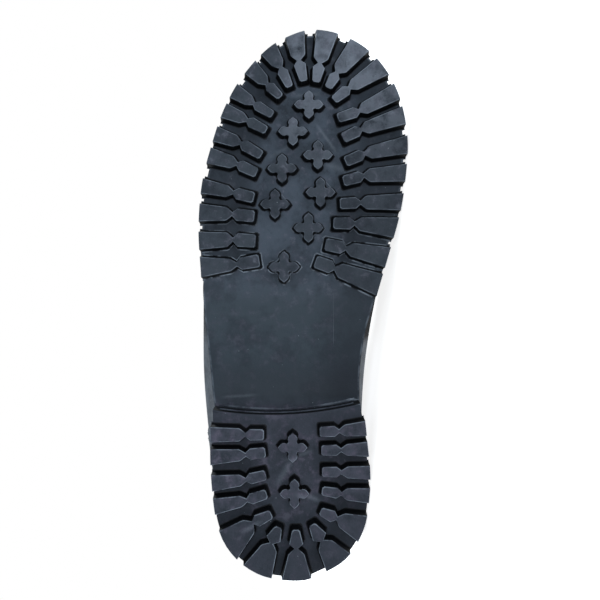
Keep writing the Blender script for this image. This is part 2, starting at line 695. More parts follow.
@dataclass
class Shape:
    """Points and faces of one closed body or of several, with numbers that materials read."""

    points: list = field(default_factory=list)
    faces: list = field(default_factory=list)
    marks: dict = field(default_factory=dict)
    slots: list = field(default_factory=list)

    def add(self, points: list | np.ndarray, faces: list, slot: Reals = 0, **marks: Reals) -> None:
        """Adds a body.

        Args:
            points: its points, in millimetres.
            faces: tuples of indices into its points.
            slot: material slot of its faces, or one for each face.
            marks: for each mark, a number for the body or one for each point.
        """
        start, count = len(self.points), len(points)
        self.points.extend(np.asarray(points, float))
        self.faces.extend(tuple(start + i for i in face) for face in faces)
        self.slots.extend(np.broadcast_to(slot, len(faces)))
        for name in set(self.marks) | set(marks):
            column = self.marks.setdefault(name, [0.0] * start)
            column.extend(np.broadcast_to(np.asarray(marks.get(name, 0.0), float), count))

    def add_rings(self, rings: list, closed: bool = True, **marks: Reals) -> None:
        """Adds a body lofted through closed rings of equal length, capped at both ends.

        Args:
            rings: rows of points.
            closed: whether both ends are capped.
            marks: for each mark, a number, or one for each ring.
        """
        count = len(rings[0])
        faces = []
        for r in range(len(rings) - 1):
            for i in range(count):
                j = (i + 1) % count
                faces.append((r * count + i, r * count + j, (r + 1) * count + j, (r + 1) * count + i))
        if closed:
            faces.append(tuple(range(count))[::-1])
            faces.append(tuple((len(rings) - 1) * count + i for i in range(count)))
        spread = {k: np.repeat(v, count) if np.ndim(v) else v for k, v in marks.items()}
        self.add(np.concatenate([np.asarray(ring, float) for ring in rings]), faces, **spread)

    def add_skin(
        self, outer: np.ndarray, inner: np.ndarray, slots: tuple = (0, 0, 0), closed_rows: int = 0
    ) -> None:
        """Adds a wall between two grids of points.

        Args:
            outer, inner: arrays of rows, columns and coordinates.
            slots: material slots of the outer face, the inner face and the rim.
            closed_rows: number of rows at the start whose ends meet.
        """
        rows, columns = outer.shape[:2]
        index = np.arange(rows * columns).reshape(rows, columns)
        index[:closed_rows, -1] = index[:closed_rows, 0]
        a, b, c, d = index[:-1, :-1], index[:-1, 1:], index[1:, 1:], index[1:, :-1]
        quads = np.stack([a, b, c, d], axis=-1).reshape(-1, 4)
        under = rows * columns
        start = max(closed_rows - 1, 0)
        rims = [index[0, ::-1], index[-1, :], index[start:, 0], index[start:, -1][::-1]]
        sides = [(under + a, under + b, b, a) for rim in rims for a, b in zip(rim, rim[1:])]
        faces = [*map(tuple, quads), *map(tuple, quads[:, ::-1] + under), *sides]
        slot = np.repeat(slots, (len(quads), len(quads), len(sides)))
        self.add(np.vstack([outer.reshape(-1, 3), inner.reshape(-1, 3)]), faces, slot)

    def add_tube(self, path: np.ndarray, radius: Reals, sides: int, **marks: Reals) -> np.ndarray:
        """Adds a tube along a path, with its ends closed.

        Args:
            path: points along the middle.
            radius: one number, or one for each point.
            sides: faces round the tube.
            marks: for each mark, a number, or one for each point.

        Returns:
            For each point of the tube, the distance along it and the share round it.
        """
        along = np.gradient(path, axis=0)
        along /= np.linalg.norm(along, axis=1)[:, None]
        across = np.cross(along[0], (0.3, 0.5, 0.8))
        radii = np.broadcast_to(radius, len(path))
        lengths = run_lengths(path)
        angles = np.linspace(0.0, 2 * np.pi, sides, endpoint=False)
        rings, uvs = [], []
        for centre, ahead, size, length in zip(path, along, radii, lengths):
            across = across - ahead * (across @ ahead)
            across /= np.linalg.norm(across)
            up = np.cross(ahead, across)
            rings.append(centre + size * (np.outer(np.cos(angles), across) + np.outer(np.sin(angles), up)))
            uvs.extend((length, share) for share in np.arange(sides) / sides)
        self.add_rings(rings, **marks)
        return np.array(uvs)


@dataclass
class Workshop:
    """Makes the boot's objects and hangs them on the frame, placed by a stance."""

    stance: Stance

    def make(
        self, name: str, shape: Shape, looks: list, slot: str, replaces: tuple = (), sharp: float = 35.0
    ) -> bpy.types.Object:
        """A piece of the boot.

        Args:
            name: its name.
            shape: its points and faces.
            looks: its materials.
            slot: the record's material slot.
            replaces: the frame's nodes that it stands for.
            sharp: degrees past which an edge isn't shaded smooth.

        Returns:
            The object, riding on the frame.
        """
        mesh = bpy.data.meshes.new(name)
        points = np.array(shape.points)
        mesh.from_pydata(self.stance(points), [], shape.faces)
        place = mesh.attributes.new(PLACE, "FLOAT_VECTOR", "POINT")
        place.data.foreach_set("vector", points.astype(np.float32).ravel())
        for key, values in shape.marks.items():
            mark = mesh.attributes.new(key, "FLOAT", "POINT")
            mark.data.foreach_set("value", np.array(values, np.float32))
        mesh.polygons.foreach_set("material_index", np.array(shape.slots, np.int32))
        for look in looks:
            mesh.materials.append(look)
        self.tidy(mesh)
        mesh.shade_smooth()
        mesh.set_sharp_from_angle(angle=math.radians(sharp))
        made = add_object(name, mesh)
        self.hang(made, slot, replaces)
        return made

    @staticmethod
    def tidy(mesh: bpy.types.Mesh) -> None:
        """Merges coincident points and points the faces outwards.

        Args:
            mesh: the mesh, which is changed in place.
        """
        work = bmesh.new()
        work.from_mesh(mesh)
        bmesh.ops.remove_doubles(work, verts=work.verts, dist=1e-6)
        bmesh.ops.recalc_face_normals(work, faces=work.faces)
        work.to_mesh(mesh)
        work.free()

    @staticmethod
    def hang(made: bpy.types.Object, slot: str, replaces: tuple = ()) -> None:
        """Hangs a finished object on the frame.

        Args:
            made: the object.
            slot: the record's material slot.
            replaces: the frame's nodes that it stands for.
        """
        if replaces:
            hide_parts(*replaces)
        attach(made, "root")
        made.data.calc_loop_triangles()
        LOG.info("%s: %d triangles", made.name, len(made.data.loop_triangles))

    @staticmethod
    def cut(made: bpy.types.Object, tool: bpy.types.Object) -> None:
        """Cuts a tool's shape out of a piece and keeps the result as its mesh.

        Args:
            made: the piece.
            tool: the shape that is cut out.
        """
        change = made.modifiers.new("holes", "BOOLEAN")
        change.operation, change.solver, change.object = "DIFFERENCE", "EXACT", tool
        keep_result(made)


# --- shader maths
@dataclass
class Num:
    """A number or colour socket of a graph, which takes arithmetic."""

    graph: "Graph"
    socket: bpy.types.NodeSocket

    def __add__(self, other: "Num | float") -> "Num":
        """Sum."""
        return self.graph.math("ADD", self, other)

    def __sub__(self, other: "Num | float") -> "Num":
        """Difference."""
        return self.graph.math("SUBTRACT", self, other)

    def __rsub__(self, other: "Num | float") -> "Num":
        """Difference from a plain number."""
        return self.graph.math("SUBTRACT", other, self)

    def __mul__(self, other: "Num | float") -> "Num":
        """Product."""
        return self.graph.math("MULTIPLY", self, other)

    __radd__, __rmul__ = __add__, __mul__


class Graph:
    """The nodes of one material."""

    def __init__(self, name: str) -> None:
        """Args:
            name: the material's name.
        """
        self.material = bpy.data.materials.new(name)
        self.material.use_nodes = True
        self.tree = self.material.node_tree
        self.shader = self.tree.nodes["Principled BSDF"]
        self.colour = None

    def node(
        self, kind: str, output: int | str = 0, settings: dict | None = None, **values: object
    ) -> Num:
        """A node's output.

        Args:
            kind: the node's type.
            output: the output's name or number.
            settings: properties that are set first.
            values: values or sockets for its inputs, by name with _ for a space, or by _number.

        Returns:
            The output.
        """
        made = self.tree.nodes.new(kind)
        for key, value in (settings or {}).items():
            setattr(made, key, value)
        for key, value in values.items():
            target = made.inputs[int(key[1:])] if key[1:].isdigit() else made.inputs[key.replace("_", " ")]
            self.feed(target, value)
        return Num(self, made.outputs[output])

    def feed(self, target: bpy.types.NodeSocket, value: object) -> None:
        """Links a socket, or sets its value.

        Args:
            target: an input socket.
            value: a number, a colour or a Num.
        """
        if isinstance(value, Num):
            self.tree.links.new(value.socket, target)
        elif isinstance(value, tuple) and len(value) == 3 and len(target.default_value) == 4:
            target.default_value = (*value, 1.0)
        else:
            target.default_value = value

    def math(self, operation: str, *values: Num | float, clamp: bool = False) -> Num:
        """A Math node on numbers or sockets, limited to 0 to 1 where clamp says so."""
        inputs = {f"_{i}": value for i, value in enumerate(values)}
        return self.node("ShaderNodeMath", 0, {"operation": operation, "use_clamp": clamp}, **inputs)

    def mark(self, name: str) -> Num:
        """A number that the mesh carries."""
        return self.node("ShaderNodeAttribute", "Fac", {"attribute_name": name})

    def place(self) -> Num:
        """The point on the standing boot, in millimetres."""
        return self.node("ShaderNodeAttribute", "Vector", {"attribute_name": PLACE})

    def split(self, vector: Num) -> tuple:
        """The three numbers of a vector."""
        made = self.node("ShaderNodeSeparateXYZ", _0=vector)
        return tuple(Num(self, output) for output in made.socket.node.outputs)

    def noise(self, vector: Num, scale: float, detail: float = 3.0, roughness: float = 0.55) -> Num:
        """Noise from 0 to 1."""
        sizes = {"Scale": scale, "Detail": detail, "Roughness": roughness}
        return self.node("ShaderNodeTexNoise", "Fac", Vector=vector, **sizes)

    def cells(self, vector: Num, scale: float, feature: str = "F1") -> Num:
        """Distance to the nearest cell point, or to a cell's edge."""
        kind = {"feature": feature}
        return self.node("ShaderNodeTexVoronoi", "Distance", kind, Vector=vector, Scale=scale)

    def stretch(self, vector: Num, scale: tuple) -> Num:
        """A vector with each number scaled."""
        return self.node("ShaderNodeVectorMath", 0, {"operation": "MULTIPLY"}, _0=vector, _1=scale)

    def between(self, value: Num, low: float, high: float) -> Num:
        """An S-curve from 0 at low to 1 at high.

        Args:
            value: what is read.
            low, high: the ends, in either order.

        Returns:
            0 to 1.
        """
        limits = (min(low, high), max(low, high), float(low > high), float(low < high))
        inputs = {f"_{i}": limit for i, limit in enumerate(limits, 1)}
        curve = {"interpolation_type": "SMOOTHSTEP"}
        return self.node("ShaderNodeMapRange", "Result", curve, Value=value, **inputs)

    def blend(self, share: Num | float, first: Num | tuple, second: Num | tuple) -> Num:
        """A colour a share of the way from first to second."""
        return self.node("ShaderNodeMix", 2, {"data_type": "RGBA"}, _0=share, _6=first, _7=second)

    def coat(self, share: Num | float, over: Num | tuple) -> None:
        """Lays a colour over the one built up so far, by a share."""
        self.colour = self.blend(share, self.colour, over)

    def bump(self, height: Num, distance: float) -> Num:
        """A normal from a height, with distance in millimetres."""
        return self.node("ShaderNodeBump", Height=height, Distance=distance * MM, Strength=1.0)

    def finish(self, **values: object) -> Material:
        """Feeds the shader's sockets.

        Args:
            values: values or sockets for its inputs, by name with _ for a space.

        Returns:
            The material.
        """
        for key, value in values.items():
            self.feed(self.shader.inputs[key.replace("_", " ")], value)
        return self.material


def linear(red: int, green: int, blue: int) -> tuple:
    """A display colour, 0 to 255, as linear light."""
    shares = (red / 255, green / 255, blue / 255)
    return tuple(((c + 0.055) / 1.055) ** 2.4 if c > 0.04045 else c / 12.92 for c in shares)


# --- finishes
@dataclass(frozen=True)
class Scuff:
    """A pale scuff on the rubber: its middle, its heading in degrees from x, and its sizes."""

    x: float
    y: float
    heading: float
    length: float
    width: float
    strength: float = 1.0


SCUFFS = (
    Scuff(247.5, 20.0, 145.0, 26.0, 2.6, 0.7),
    Scuff(230.0, 29.0, 104.0, 30.0, 6.0, 0.6),
    Scuff(221.0, 21.0, 138.0, 13.0, 0.8, 1.2),
    Scuff(213.8, -4.0, 137.0, 13.0, 0.8, 1.2),
    Scuff(273.0, 9.0, 84.0, 20.0, 3.4, 0.6),
    Scuff(297.0, 20.0, 118.0, 15.0, 4.0, 0.7),
    Scuff(262.0, 30.0, 150.0, 18.0, 3.6, 0.4),
    Scuff(240.0, -6.0, 60.0, 22.0, 3.0, 0.4),
    Scuff(99.5, -30.0, 86.0, 26.0, 2.6, 0.4),
    Scuff(97.4, 36.6, 96.0, 9.0, 1.5, 2.2),
    Scuff(58.0, -4.0, 30.0, 22.0, 5.0, 0.6),
    Scuff(45.0, 10.0, 112.0, 20.0, 4.0, 0.7),
    Scuff(68.0, 4.0, 70.0, 22.0, 3.2, 0.5),
    Scuff(30.0, -22.0, 60.0, 16.0, 3.6, 0.5),
)


@dataclass(frozen=True)
class Rubber:
    """Moulded rubber: dusty wearing faces with light rims, dull floors, and near-black walls."""

    face: tuple = linear(48, 55, 63)
    face_toe: tuple = linear(99, 106, 117)
    floor: tuple = linear(59, 68, 79)
    shank: tuple = linear(47, 56, 64)
    heel_face: tuple = linear(59, 62, 73)
    heel_floor: tuple = linear(48, 52, 62)
    wall: tuple = linear(2, 4, 7)
    pit: tuple = linear(20, 25, 32)
    rim: tuple = linear(112, 122, 134)
    dark: tuple = linear(30, 36, 44)
    bloom: tuple = linear(72, 66, 82)
    dust: tuple = linear(114, 123, 134)
    side: tuple = linear(12, 15, 19)
    specular: float = 0.14

    @staticmethod
    def scuffed(g: Graph, x: Num, y: Num, grain: Num) -> Num:
        """How much the placed scuffs show at a point.

        Args:
            g: the material's graph.
            x, y: the place.
            grain: noise that frays the edges.

        Returns:
            0 away from the scuffs.
        """
        total = None
        for mark in SCUFFS:
            turn = math.radians(mark.heading)
            ahead, across = x - mark.x, y - mark.y
            along = g.math("ABSOLUTE", ahead * math.cos(turn) + across * math.sin(turn))
            beside = g.math("ABSOLUTE", across * math.cos(turn) - ahead * math.sin(turn))
            streak = g.between(along, mark.length / 2, mark.length / 6)
            streak = streak * g.between(beside + grain * mark.width * 0.8, mark.width, mark.width * 0.3)
            streak = streak * mark.strength
            total = streak if total is None else g.math("MAXIMUM", total, streak)
        return total

    def build(self) -> Material:
        """Builds its nodes, which read the marks worn, wall, rim, foot, tint, side and deep.

        Returns:
            The material.
        """
        g = Graph("sole_rubber")
        place = g.place()
        x, y, _ = g.split(place)
        heel = g.between(x, 100.0, 92.0)
        toe = g.between(x, 205.0, 300.0) * (1.0 - 0.95 * g.between(y, 4.0, -14.0))
        shank = g.between(x, 176.0, 150.0) * (1.0 - heel)
        worn = g.mark("worn")
        cloud = g.noise(place, 0.05, 5.0, 0.62)
        patch = g.noise(place, 0.16, 4.0, 0.65)
        fine = g.noise(place, 1.1, 4.0, 0.7)
        scratch = g.noise(g.stretch(place, (0.07, 0.9, 0.9)), 1.0, 4.0, 0.75)
        cross = g.noise(g.stretch(place, (0.9, 0.08, 0.9)), 1.3, 4.0, 0.75)
        face = g.blend(heel, g.blend(toe, self.face, self.face_toe), self.heel_face)
        floor = g.blend(heel, g.blend(shank, self.floor, self.shank), self.heel_floor)
        g.colour = g.blend(worn, floor, face)
        shade = g.between(cloud, 0.44, 0.62) * 0.5 + g.mark("tint") * worn * 0.42
        g.coat(shade + (1.0 - shank) * g.between(patch, 0.5, 0.72) * 0.35, self.dark)
        lined = g.between(g.math("MAXIMUM", scratch, cross), 0.66, 0.8) * worn
        dust = lined * 0.4 + g.between(fine, 0.56, 0.8) * 0.2 + g.between(patch, 0.44, 0.28) * 0.26
        dust = dust * (1.0 - shank * 0.75)
        g.coat(dust, self.dust)
        g.coat(g.between(patch, 0.52, 0.36) * (0.16 + heel * 0.3), self.bloom)
        hollow = g.between(x, 130.0, 108.0) * 0.55 + g.between(y, 8.0, 34.0) * 0.5
        g.coat(shank * hollow, self.dark)
        g.coat(g.between(x, 60.0, 14.0) * 0.66, self.dark)
        g.coat(g.between(x, 80.0, 88.0) * heel * 0.3, self.dark)
        g.coat(g.mark("deep") * (1.0 - shank) * g.between(x, 84.0, 76.0) * 0.6, self.pit)
        g.coat(g.mark("deep") * g.between(x, 172.0, 186.0) * 0.6, self.pit)
        g.coat(self.scuffed(g, x, y, fine) * 0.36, self.dust)
        speck = g.between(g.cells(place, 0.21), 0.075, 0.03) * g.between(fine, 0.5, 0.6)
        g.coat(speck * 0.75, linear(128, 138, 148))
        line = g.between(g.math("ABSOLUTE", y - 27.0 + x * 0.02), 0.34, 0.12)
        line = line * g.between(x, 128.0, 134.0) * g.between(x, 161.0, 152.0) * (1.0 - worn)
        g.coat(line * 0.25, linear(100, 110, 120))
        g.coat(g.mark("side"), self.side)
        g.coat(g.mark("wall"), self.wall)
        broken = g.noise(place, 0.13, 4.0, 0.6)
        foot = g.mark("foot") * g.between(x, 214.0, 176.0) * (1.0 - heel) * g.between(broken, 0.40, 0.58)
        rim = g.mark("rim") * g.between(broken, 0.34, 0.6) * (0.5 + 0.4 * toe + 0.25 * heel)
        g.coat(g.math("MAXIMUM", rim, foot, clamp=True), self.rim)
        rough = 0.55 + fine * 0.2 - shank * 0.06
        height = fine * 0.5 + g.noise(place, 3.0, 2.0) * 0.3 + scratch * worn * 0.8
        height = height + cloud * 3.0 + line * 2.0
        g.shader.inputs["Specular IOR Level"].default_value = self.specular
        return g.finish(Base_Color=g.colour, Roughness=rough, Normal=g.bump(height, 0.14))


@dataclass(frozen=True)
class Leather:
    """Matte oiled leather: a fine grain, paler where it is handled, dusty in its troughs."""

    name: str
    base: tuple = linear(30, 35, 42)
    high: tuple = linear(46, 53, 62)
    deep: tuple = linear(14, 17, 21)
    dust: tuple = linear(92, 99, 108)
    chalk: tuple = linear(92, 99, 108)
    grime: tuple = linear(4, 5, 8)
    grain: float = 0.9
    specular: float = 0.42

    def build(self) -> Material:
        """Builds its nodes.

        Returns:
            The material.
        """
        g = Graph(self.name)
        place = g.place()
        x, y, z = g.split(place)
        pebble = g.cells(place, self.grain, "DISTANCE_TO_EDGE")
        pores = g.noise(place, 2.4, 3.0, 0.6)
        cloud = g.noise(place, 0.022, 5.0, 0.68)
        fold = g.noise(g.stretch(place, (0.06, 0.10, 0.13)), 1.0, 5.0, 0.62)
        rub = g.noise(place, 0.12, 6.0, 0.75)
        scratch = g.noise(g.stretch(place, (0.5, 0.5, 0.04)), 1.0, 4.0, 0.75)
        g.colour = g.blend(g.between(pebble, 0.0, 0.14) * 0.8 + 0.2, self.deep, self.base)
        g.coat(g.between(cloud, 0.4, 0.75) * 0.45, self.high)
        g.coat(g.between(pores, 0.55, 0.8) * 0.3, self.high)
        low, waist = g.between(z, 58.0, 26.0), g.between(x, 142.0, 126.0) * g.between(z, 74.0, 50.0)
        dusty = low * g.between(rub, 0.46, 0.7) * 0.3 + g.between(rub, 0.66, 0.8) * 0.16
        dusty = dusty + g.between(scratch, 0.70, 0.8) * 0.10
        g.coat(dusty, self.dust)
        g.coat(waist * (0.4 + g.between(rub, 0.4, 0.6) * 0.4), self.chalk)
        crevice = g.between(x, 129.0, 134.0) * g.between(x, 172.0, 154.0)
        crevice = crevice * g.between(y, 36.0, 44.0) * g.between(z, 78.0, 60.0)
        g.coat(crevice * 0.9, self.grime)
        height = g.between(pebble, 0.0, 0.22) * 0.5 + pores * 0.35 + fold * 4.0 + rub * 0.6
        rough = 0.46 + cloud * 0.16 + dusty * 0.5 + pores * 0.08 + crevice * 0.4
        g.shader.inputs["Specular IOR Level"].default_value = self.specular
        return g.finish(Base_Color=g.colour, Roughness=rough, Normal=g.bump(height, 0.2))


@dataclass(frozen=True)
class Textile:
    """Woven or brushed textile."""

    name: str
    base: tuple
    high: tuple
    pitch: float
    sheen: float = 0.3

    def build(self) -> Material:
        """Builds its nodes, with the weave on the boot's own coordinates.

        Returns:
            The material.
        """
        g = Graph(self.name)
        place = g.place()
        x, y, z = g.split(place)
        fuzz = g.noise(place, 1.6, 4.0, 0.7)
        turn = 2 * math.pi / self.pitch
        first = g.math("SINE", (x + z) * turn)
        second = g.math("SINE", (z - x + y * 0.6) * turn)
        weave = (first * second) * 0.5 + 0.5
        cloud = g.noise(place, 0.07, 4.0, 0.6)
        worn = g.between(weave * 0.3 + fuzz * 0.7 + cloud * 0.4, 0.4, 1.0)
        colour = g.blend(worn, self.base, self.high)
        height = weave * 0.25 + fuzz * 1.2
        g.shader.inputs["Sheen Weight"].default_value = self.sheen
        return g.finish(Base_Color=colour, Roughness=0.92, Normal=g.bump(height, 0.22))


@dataclass(frozen=True)
class LaceWeave:
    """Round braided cord."""

    base: tuple = linear(24, 25, 28)
    high: tuple = linear(58, 60, 66)

    def build(self) -> Material:
        """Builds its nodes, which read the marks run, in millimetres, and spin, in turns.

        Returns:
            The material.
        """
        g = Graph("lace_braid")
        turn = 2 * math.pi
        run, spin = g.mark("run"), g.mark("spin")
        first = g.math("SINE", (run * 0.38 + spin * 6.0) * turn)
        second = g.math("SINE", (run * 0.38 - spin * 6.0) * turn)
        braid = g.math("MAXIMUM", first, second) * 0.5 + 0.5
        fuzz = g.noise(g.place(), 2.5, 3.0, 0.7)
        colour = g.blend(g.between(braid * 0.8 + fuzz * 0.4, 0.35, 1.0), self.base, self.high)
        return g.finish(Base_Color=colour, Roughness=0.85, Normal=g.bump(braid + fuzz * 0.4, 0.3))


@dataclass(frozen=True)
class Enamel:
    """Black enamel on metal, rubbed through a little on its rims."""

    paint: tuple = linear(34, 35, 38)
    metal: tuple = linear(138, 137, 132)

    def build(self) -> Material:
        """Builds its nodes, which read the mark rim.

        Returns:
            The material.
        """
        g = Graph("eyelet_enamel")
        place = g.place()
        rub = g.mark("rim") * g.between(g.noise(place, 0.35, 3.0, 0.6), 0.44, 0.66)
        colour = g.blend(rub * 0.75, self.paint, self.metal)
        rough = 0.30 + g.noise(place, 1.5, 3.0) * 0.14
        return g.finish(
            Base_Color=colour, Metallic=0.4 + rub * 0.5, Roughness=rough,
            Normal=g.bump(g.noise(place, 1.2, 2.0), 0.02),
        )


@dataclass(frozen=True)
class Thread:
    """Waxed thread."""

    name: str
    colour: tuple

    def build(self) -> Material:
        """Builds its nodes, a little uneven along the thread.

        Returns:
            The material.
        """
        g = Graph(self.name)
        place = g.node("ShaderNodeTexCoord", "Object")
        fuzz = g.noise(place, 900.0, 3.0, 0.7)
        lighter = tuple(min(c * 2.2, 1.0) for c in self.colour)
        colour = g.blend(g.between(fuzz, 0.35, 0.75), self.colour, lighter)
        return g.finish(Base_Color=colour, Roughness=0.7, Normal=g.bump(fuzz, 0.08))


# --- sole
@dataclass(frozen=True)
class RingRow:
    """One ring of a lug: height above the wearing face, growth, marks, and where its draft ends."""

    height: float
    grow: float
    worn: float = 0.0
    rim: float = 0.0
    wall: float = 0.0
    foot: float = 0.0
    draft_to: float = math.inf


# From the wearing face over its rounded rim and down the drafted wall to the fillet at its foot.
LUG_RINGS = (
    RingRow(0.0, -0.50, worn=1.0),
    RingRow(0.0, -0.46, worn=1.0, rim=0.1),
    RingRow(0.07, -0.22, worn=1.0, rim=1.0),
    RingRow(0.26, 0.0, worn=1.0, rim=0.9),
    RingRow(0.5, 0.07, worn=0.3, wall=0.6),
    RingRow(0.8, 0.08, wall=1.0),
    RingRow(6.0, 0.0, wall=1.0),
    RingRow(6.6, 0.16, wall=1.0),
    RingRow(6.88, 0.36, wall=1.0, foot=0.9),
    RingRow(6.98, 0.7, wall=0.75, foot=0.8),
    RingRow(7.03, 1.3),
)
LUG_ROOT_RINGS = (
    RingRow(7.3, 0.0, wall=0.4),
    RingRow(LUG_HEIGHT + LUG_ROOT - 0.3, 0.0),
    RingRow(LUG_HEIGHT + LUG_ROOT, -0.7),
)
BOSS_ROOT_RINGS = (RingRow(8.03, 1.3, draft_to=7.03),)
LUG_MARKS = ("worn", "rim", "wall", "foot")
EDGE_SHARE = 0.7  # how much of a rim's narrowing its end at the sole's edge takes


@dataclass
class Tread:
    """Lugs and bosses on the wearing face."""

    lugs: tuple
    bosses: tuple
    draft: float
    seed: int
    outer_steps: int = 4

    def lug_outline(self, row: tuple, grow: float, edge: Outline) -> np.ndarray:
        """A lug seen from above: a block out to the sole's edge and an inner block, joined at a neck.

        Args:
            row: a row of a table of lugs.
            grow: how far it is widened all round.
            edge: the outline that its outer end follows.

        Returns:
            Its outline's points.
        """
        x, y, out_deg, in_deg, inner_length, at_edge, outer_shoulder, inner_shoulder, inner_end = row
        neck = np.array([x, y])
        out = np.array([math.cos(math.radians(out_deg)), math.sin(math.radians(out_deg))])
        inn = np.array([math.cos(math.radians(in_deg)), math.sin(math.radians(in_deg))])
        out_left, in_left = np.array([-out[1], out[0]]), np.array([inn[1], -inn[0]])
        half_end = inner_end / 2 + grow
        sides = []
        for sign in (1, -1):
            shoulder = neck + out * SHOULDER_LENGTH + out_left * sign * (outer_shoulder / 2 + grow)
            reach = edge.reach(neck, out)
            flare = out * (reach - SHOULDER_LENGTH) + out_left * sign * (at_edge - outer_shoulder) / 2
            flare /= np.linalg.norm(flare)
            length = inner_length + grow
            sides.append([
                shoulder + flare * edge.reach(shoulder, flare),
                shoulder + flare * 0.5,
                shoulder - out * 0.35 - out_left * sign * 0.35,
                neck + (out_left + in_left) / 2 * sign * (NECK_HALF_WIDTH + grow),
                neck + inn * INNER_SHOULDER_LENGTH + in_left * sign * (inner_shoulder / 2 + grow),
                neck + inn * (length - CORNER_CUT) + in_left * sign * half_end,
                neck + inn * length + in_left * sign * (half_end - CORNER_CUT),
            ])
        ends = []
        for i in range(1, self.outer_steps):
            aim = mix(sides[1][0], sides[0][0], i / self.outer_steps) - neck
            aim /= np.linalg.norm(aim)
            ends.append(neck + aim * edge.reach(neck, aim))
        return np.array([*ends, *sides[0], *sides[1][::-1]])

    @staticmethod
    def boss_outline(row: tuple, grow: float, _: Outline) -> np.ndarray:
        """A four-armed boss seen from above.

        Args:
            row: a row of a table of bosses.
            grow: how far it is widened all round.

        Returns:
            Its outline's points.
        """
        x, y, reach = row
        ring = []
        for quarter in range(4):
            for across, up in BOSS_QUARTER:
                length = math.hypot(across, up) * reach + grow
                angle = math.atan2(up, across) + quarter * math.pi / 2
                ring.append((x + length * math.cos(angle), y + length * math.sin(angle)))
        return np.array(ring)

    def add_to(self, shape: Shape) -> None:
        """Adds every lug and boss to a sole.

        Args:
            shape: the sole's shape.
        """
        random = np.random.default_rng(self.seed)
        for rows, outline, root in (
            (self.lugs, self.lug_outline, LUG_ROOT_RINGS), (self.bosses, self.boss_outline, BOSS_ROOT_RINGS)
        ):
            for row in rows:
                self.add_block(shape, row, outline, (*LUG_RINGS, *root), float(random.uniform(0.0, 1.0)))

    def add_block(self, shape: Shape, row: tuple, outline: Callable, rings: tuple, tint: float) -> None:
        """Adds one lug or boss.

        Args:
            shape: the sole's shape.
            row: the block's row in its table.
            outline: works out its outline at a ring.
            rings: its rings, from the wearing face to its root.
            tint: a number of its own, for its colour.
        """
        loops = []
        for ring in rings:
            grow = self.draft * min(ring.height, ring.draft_to) + ring.grow
            edge = SOLE.inset(-EDGE_SHARE * min(ring.grow, 0.0))
            loops.append([(x, y, tread(x) + ring.height) for x, y in outline(row, grow, edge)])
        marks = {name: np.array([getattr(ring, name) for ring in rings]) for name in LUG_MARKS}
        shape.add_rings(loops, tint=tint, **marks)


@dataclass
class SoleLayer:
    """A layer of the sole, from its underside over its side wall to its top."""

    outline: Outline
    low: Callable
    high: Callable
    spine: tuple
    edge_radius: float = 0.6
    wall_push: tuple = ((0.0, 0.0), (1.0, 0.0))
    side_mark: float = 1.0
    edge_rim: float = 0.0
    loops: int = 12

    def add_to(self, shape: Shape) -> None:
        """Adds the layer as one closed body.

        Args:
            shape: the shape it goes into.
        """
        edge = self.outline.points
        x_in = np.clip(edge[:, 0], *self.spine)
        y_in = (self.outline.y(x_in, Side.LATERAL) + self.outline.y(x_in, Side.MEDIAL)) / 2
        middle = np.stack([x_in, y_in], axis=1)
        rows, side, rim, deep = [], [], [], []

        def add(inset: float, height: Callable, share: float, marked: float, lit: float = 0.0) -> None:
            """Adds a loop, a share of the way from the edge to the spine.

            Args:
                inset: distance in from the edge.
                height: height by x.
                share: 0 at the edge to 1 at the spine.
                marked, lit: the marks side and rim.
            """
            loop = mix(edge + self.outline.inward() * inset, middle, share)
            rows.append(np.column_stack([loop, height(loop[:, 0])]))
            side.append(marked)
            rim.append(lit)
            deep.append(smooth_step((0.62 - share) / 0.26) * (1.0 - marked))

        shares = [1.0 - i / self.loops for i in range(self.loops)]
        for share in shares:
            add(self.edge_radius, self.low, share, 0.0)
        add(self.edge_radius + 0.8, self.low, 0.0, 0.0)
        add(self.edge_radius, self.low, 0.0, 0.0, self.edge_rim)
        radius = self.edge_radius
        for angle in (30, 60, 90):
            turn = math.radians(angle)
            rise = radius * (1 - math.cos(turn))
            first = angle == 30
            add(
                radius * (1 - math.sin(turn)), lambda x: self.low(x) + rise, 0.0,
                self.side_mark * (not first), self.edge_rim * first,
            )
        for up, push in self.wall_push:
            add(-push, lambda x: mix(self.low(x) + radius, self.high(x) - radius, up), 0.0, self.side_mark)
        for angle in (0, 30, 60, 90):
            turn = math.radians(angle)
            drop = radius * (1 - math.sin(turn))
            inset = radius * (1 - math.cos(turn)) - self.wall_push[-1][1]
            add(inset, lambda x: self.high(x) - drop, 0.0, self.side_mark)
        for share in shares[::-1]:
            add(radius, self.high, share, self.side_mark)
        marks = {"side": np.array(side), "rim": np.array(rim), "deep": np.array(deep)}
        shape.add_rings(rows, closed=False, **marks)


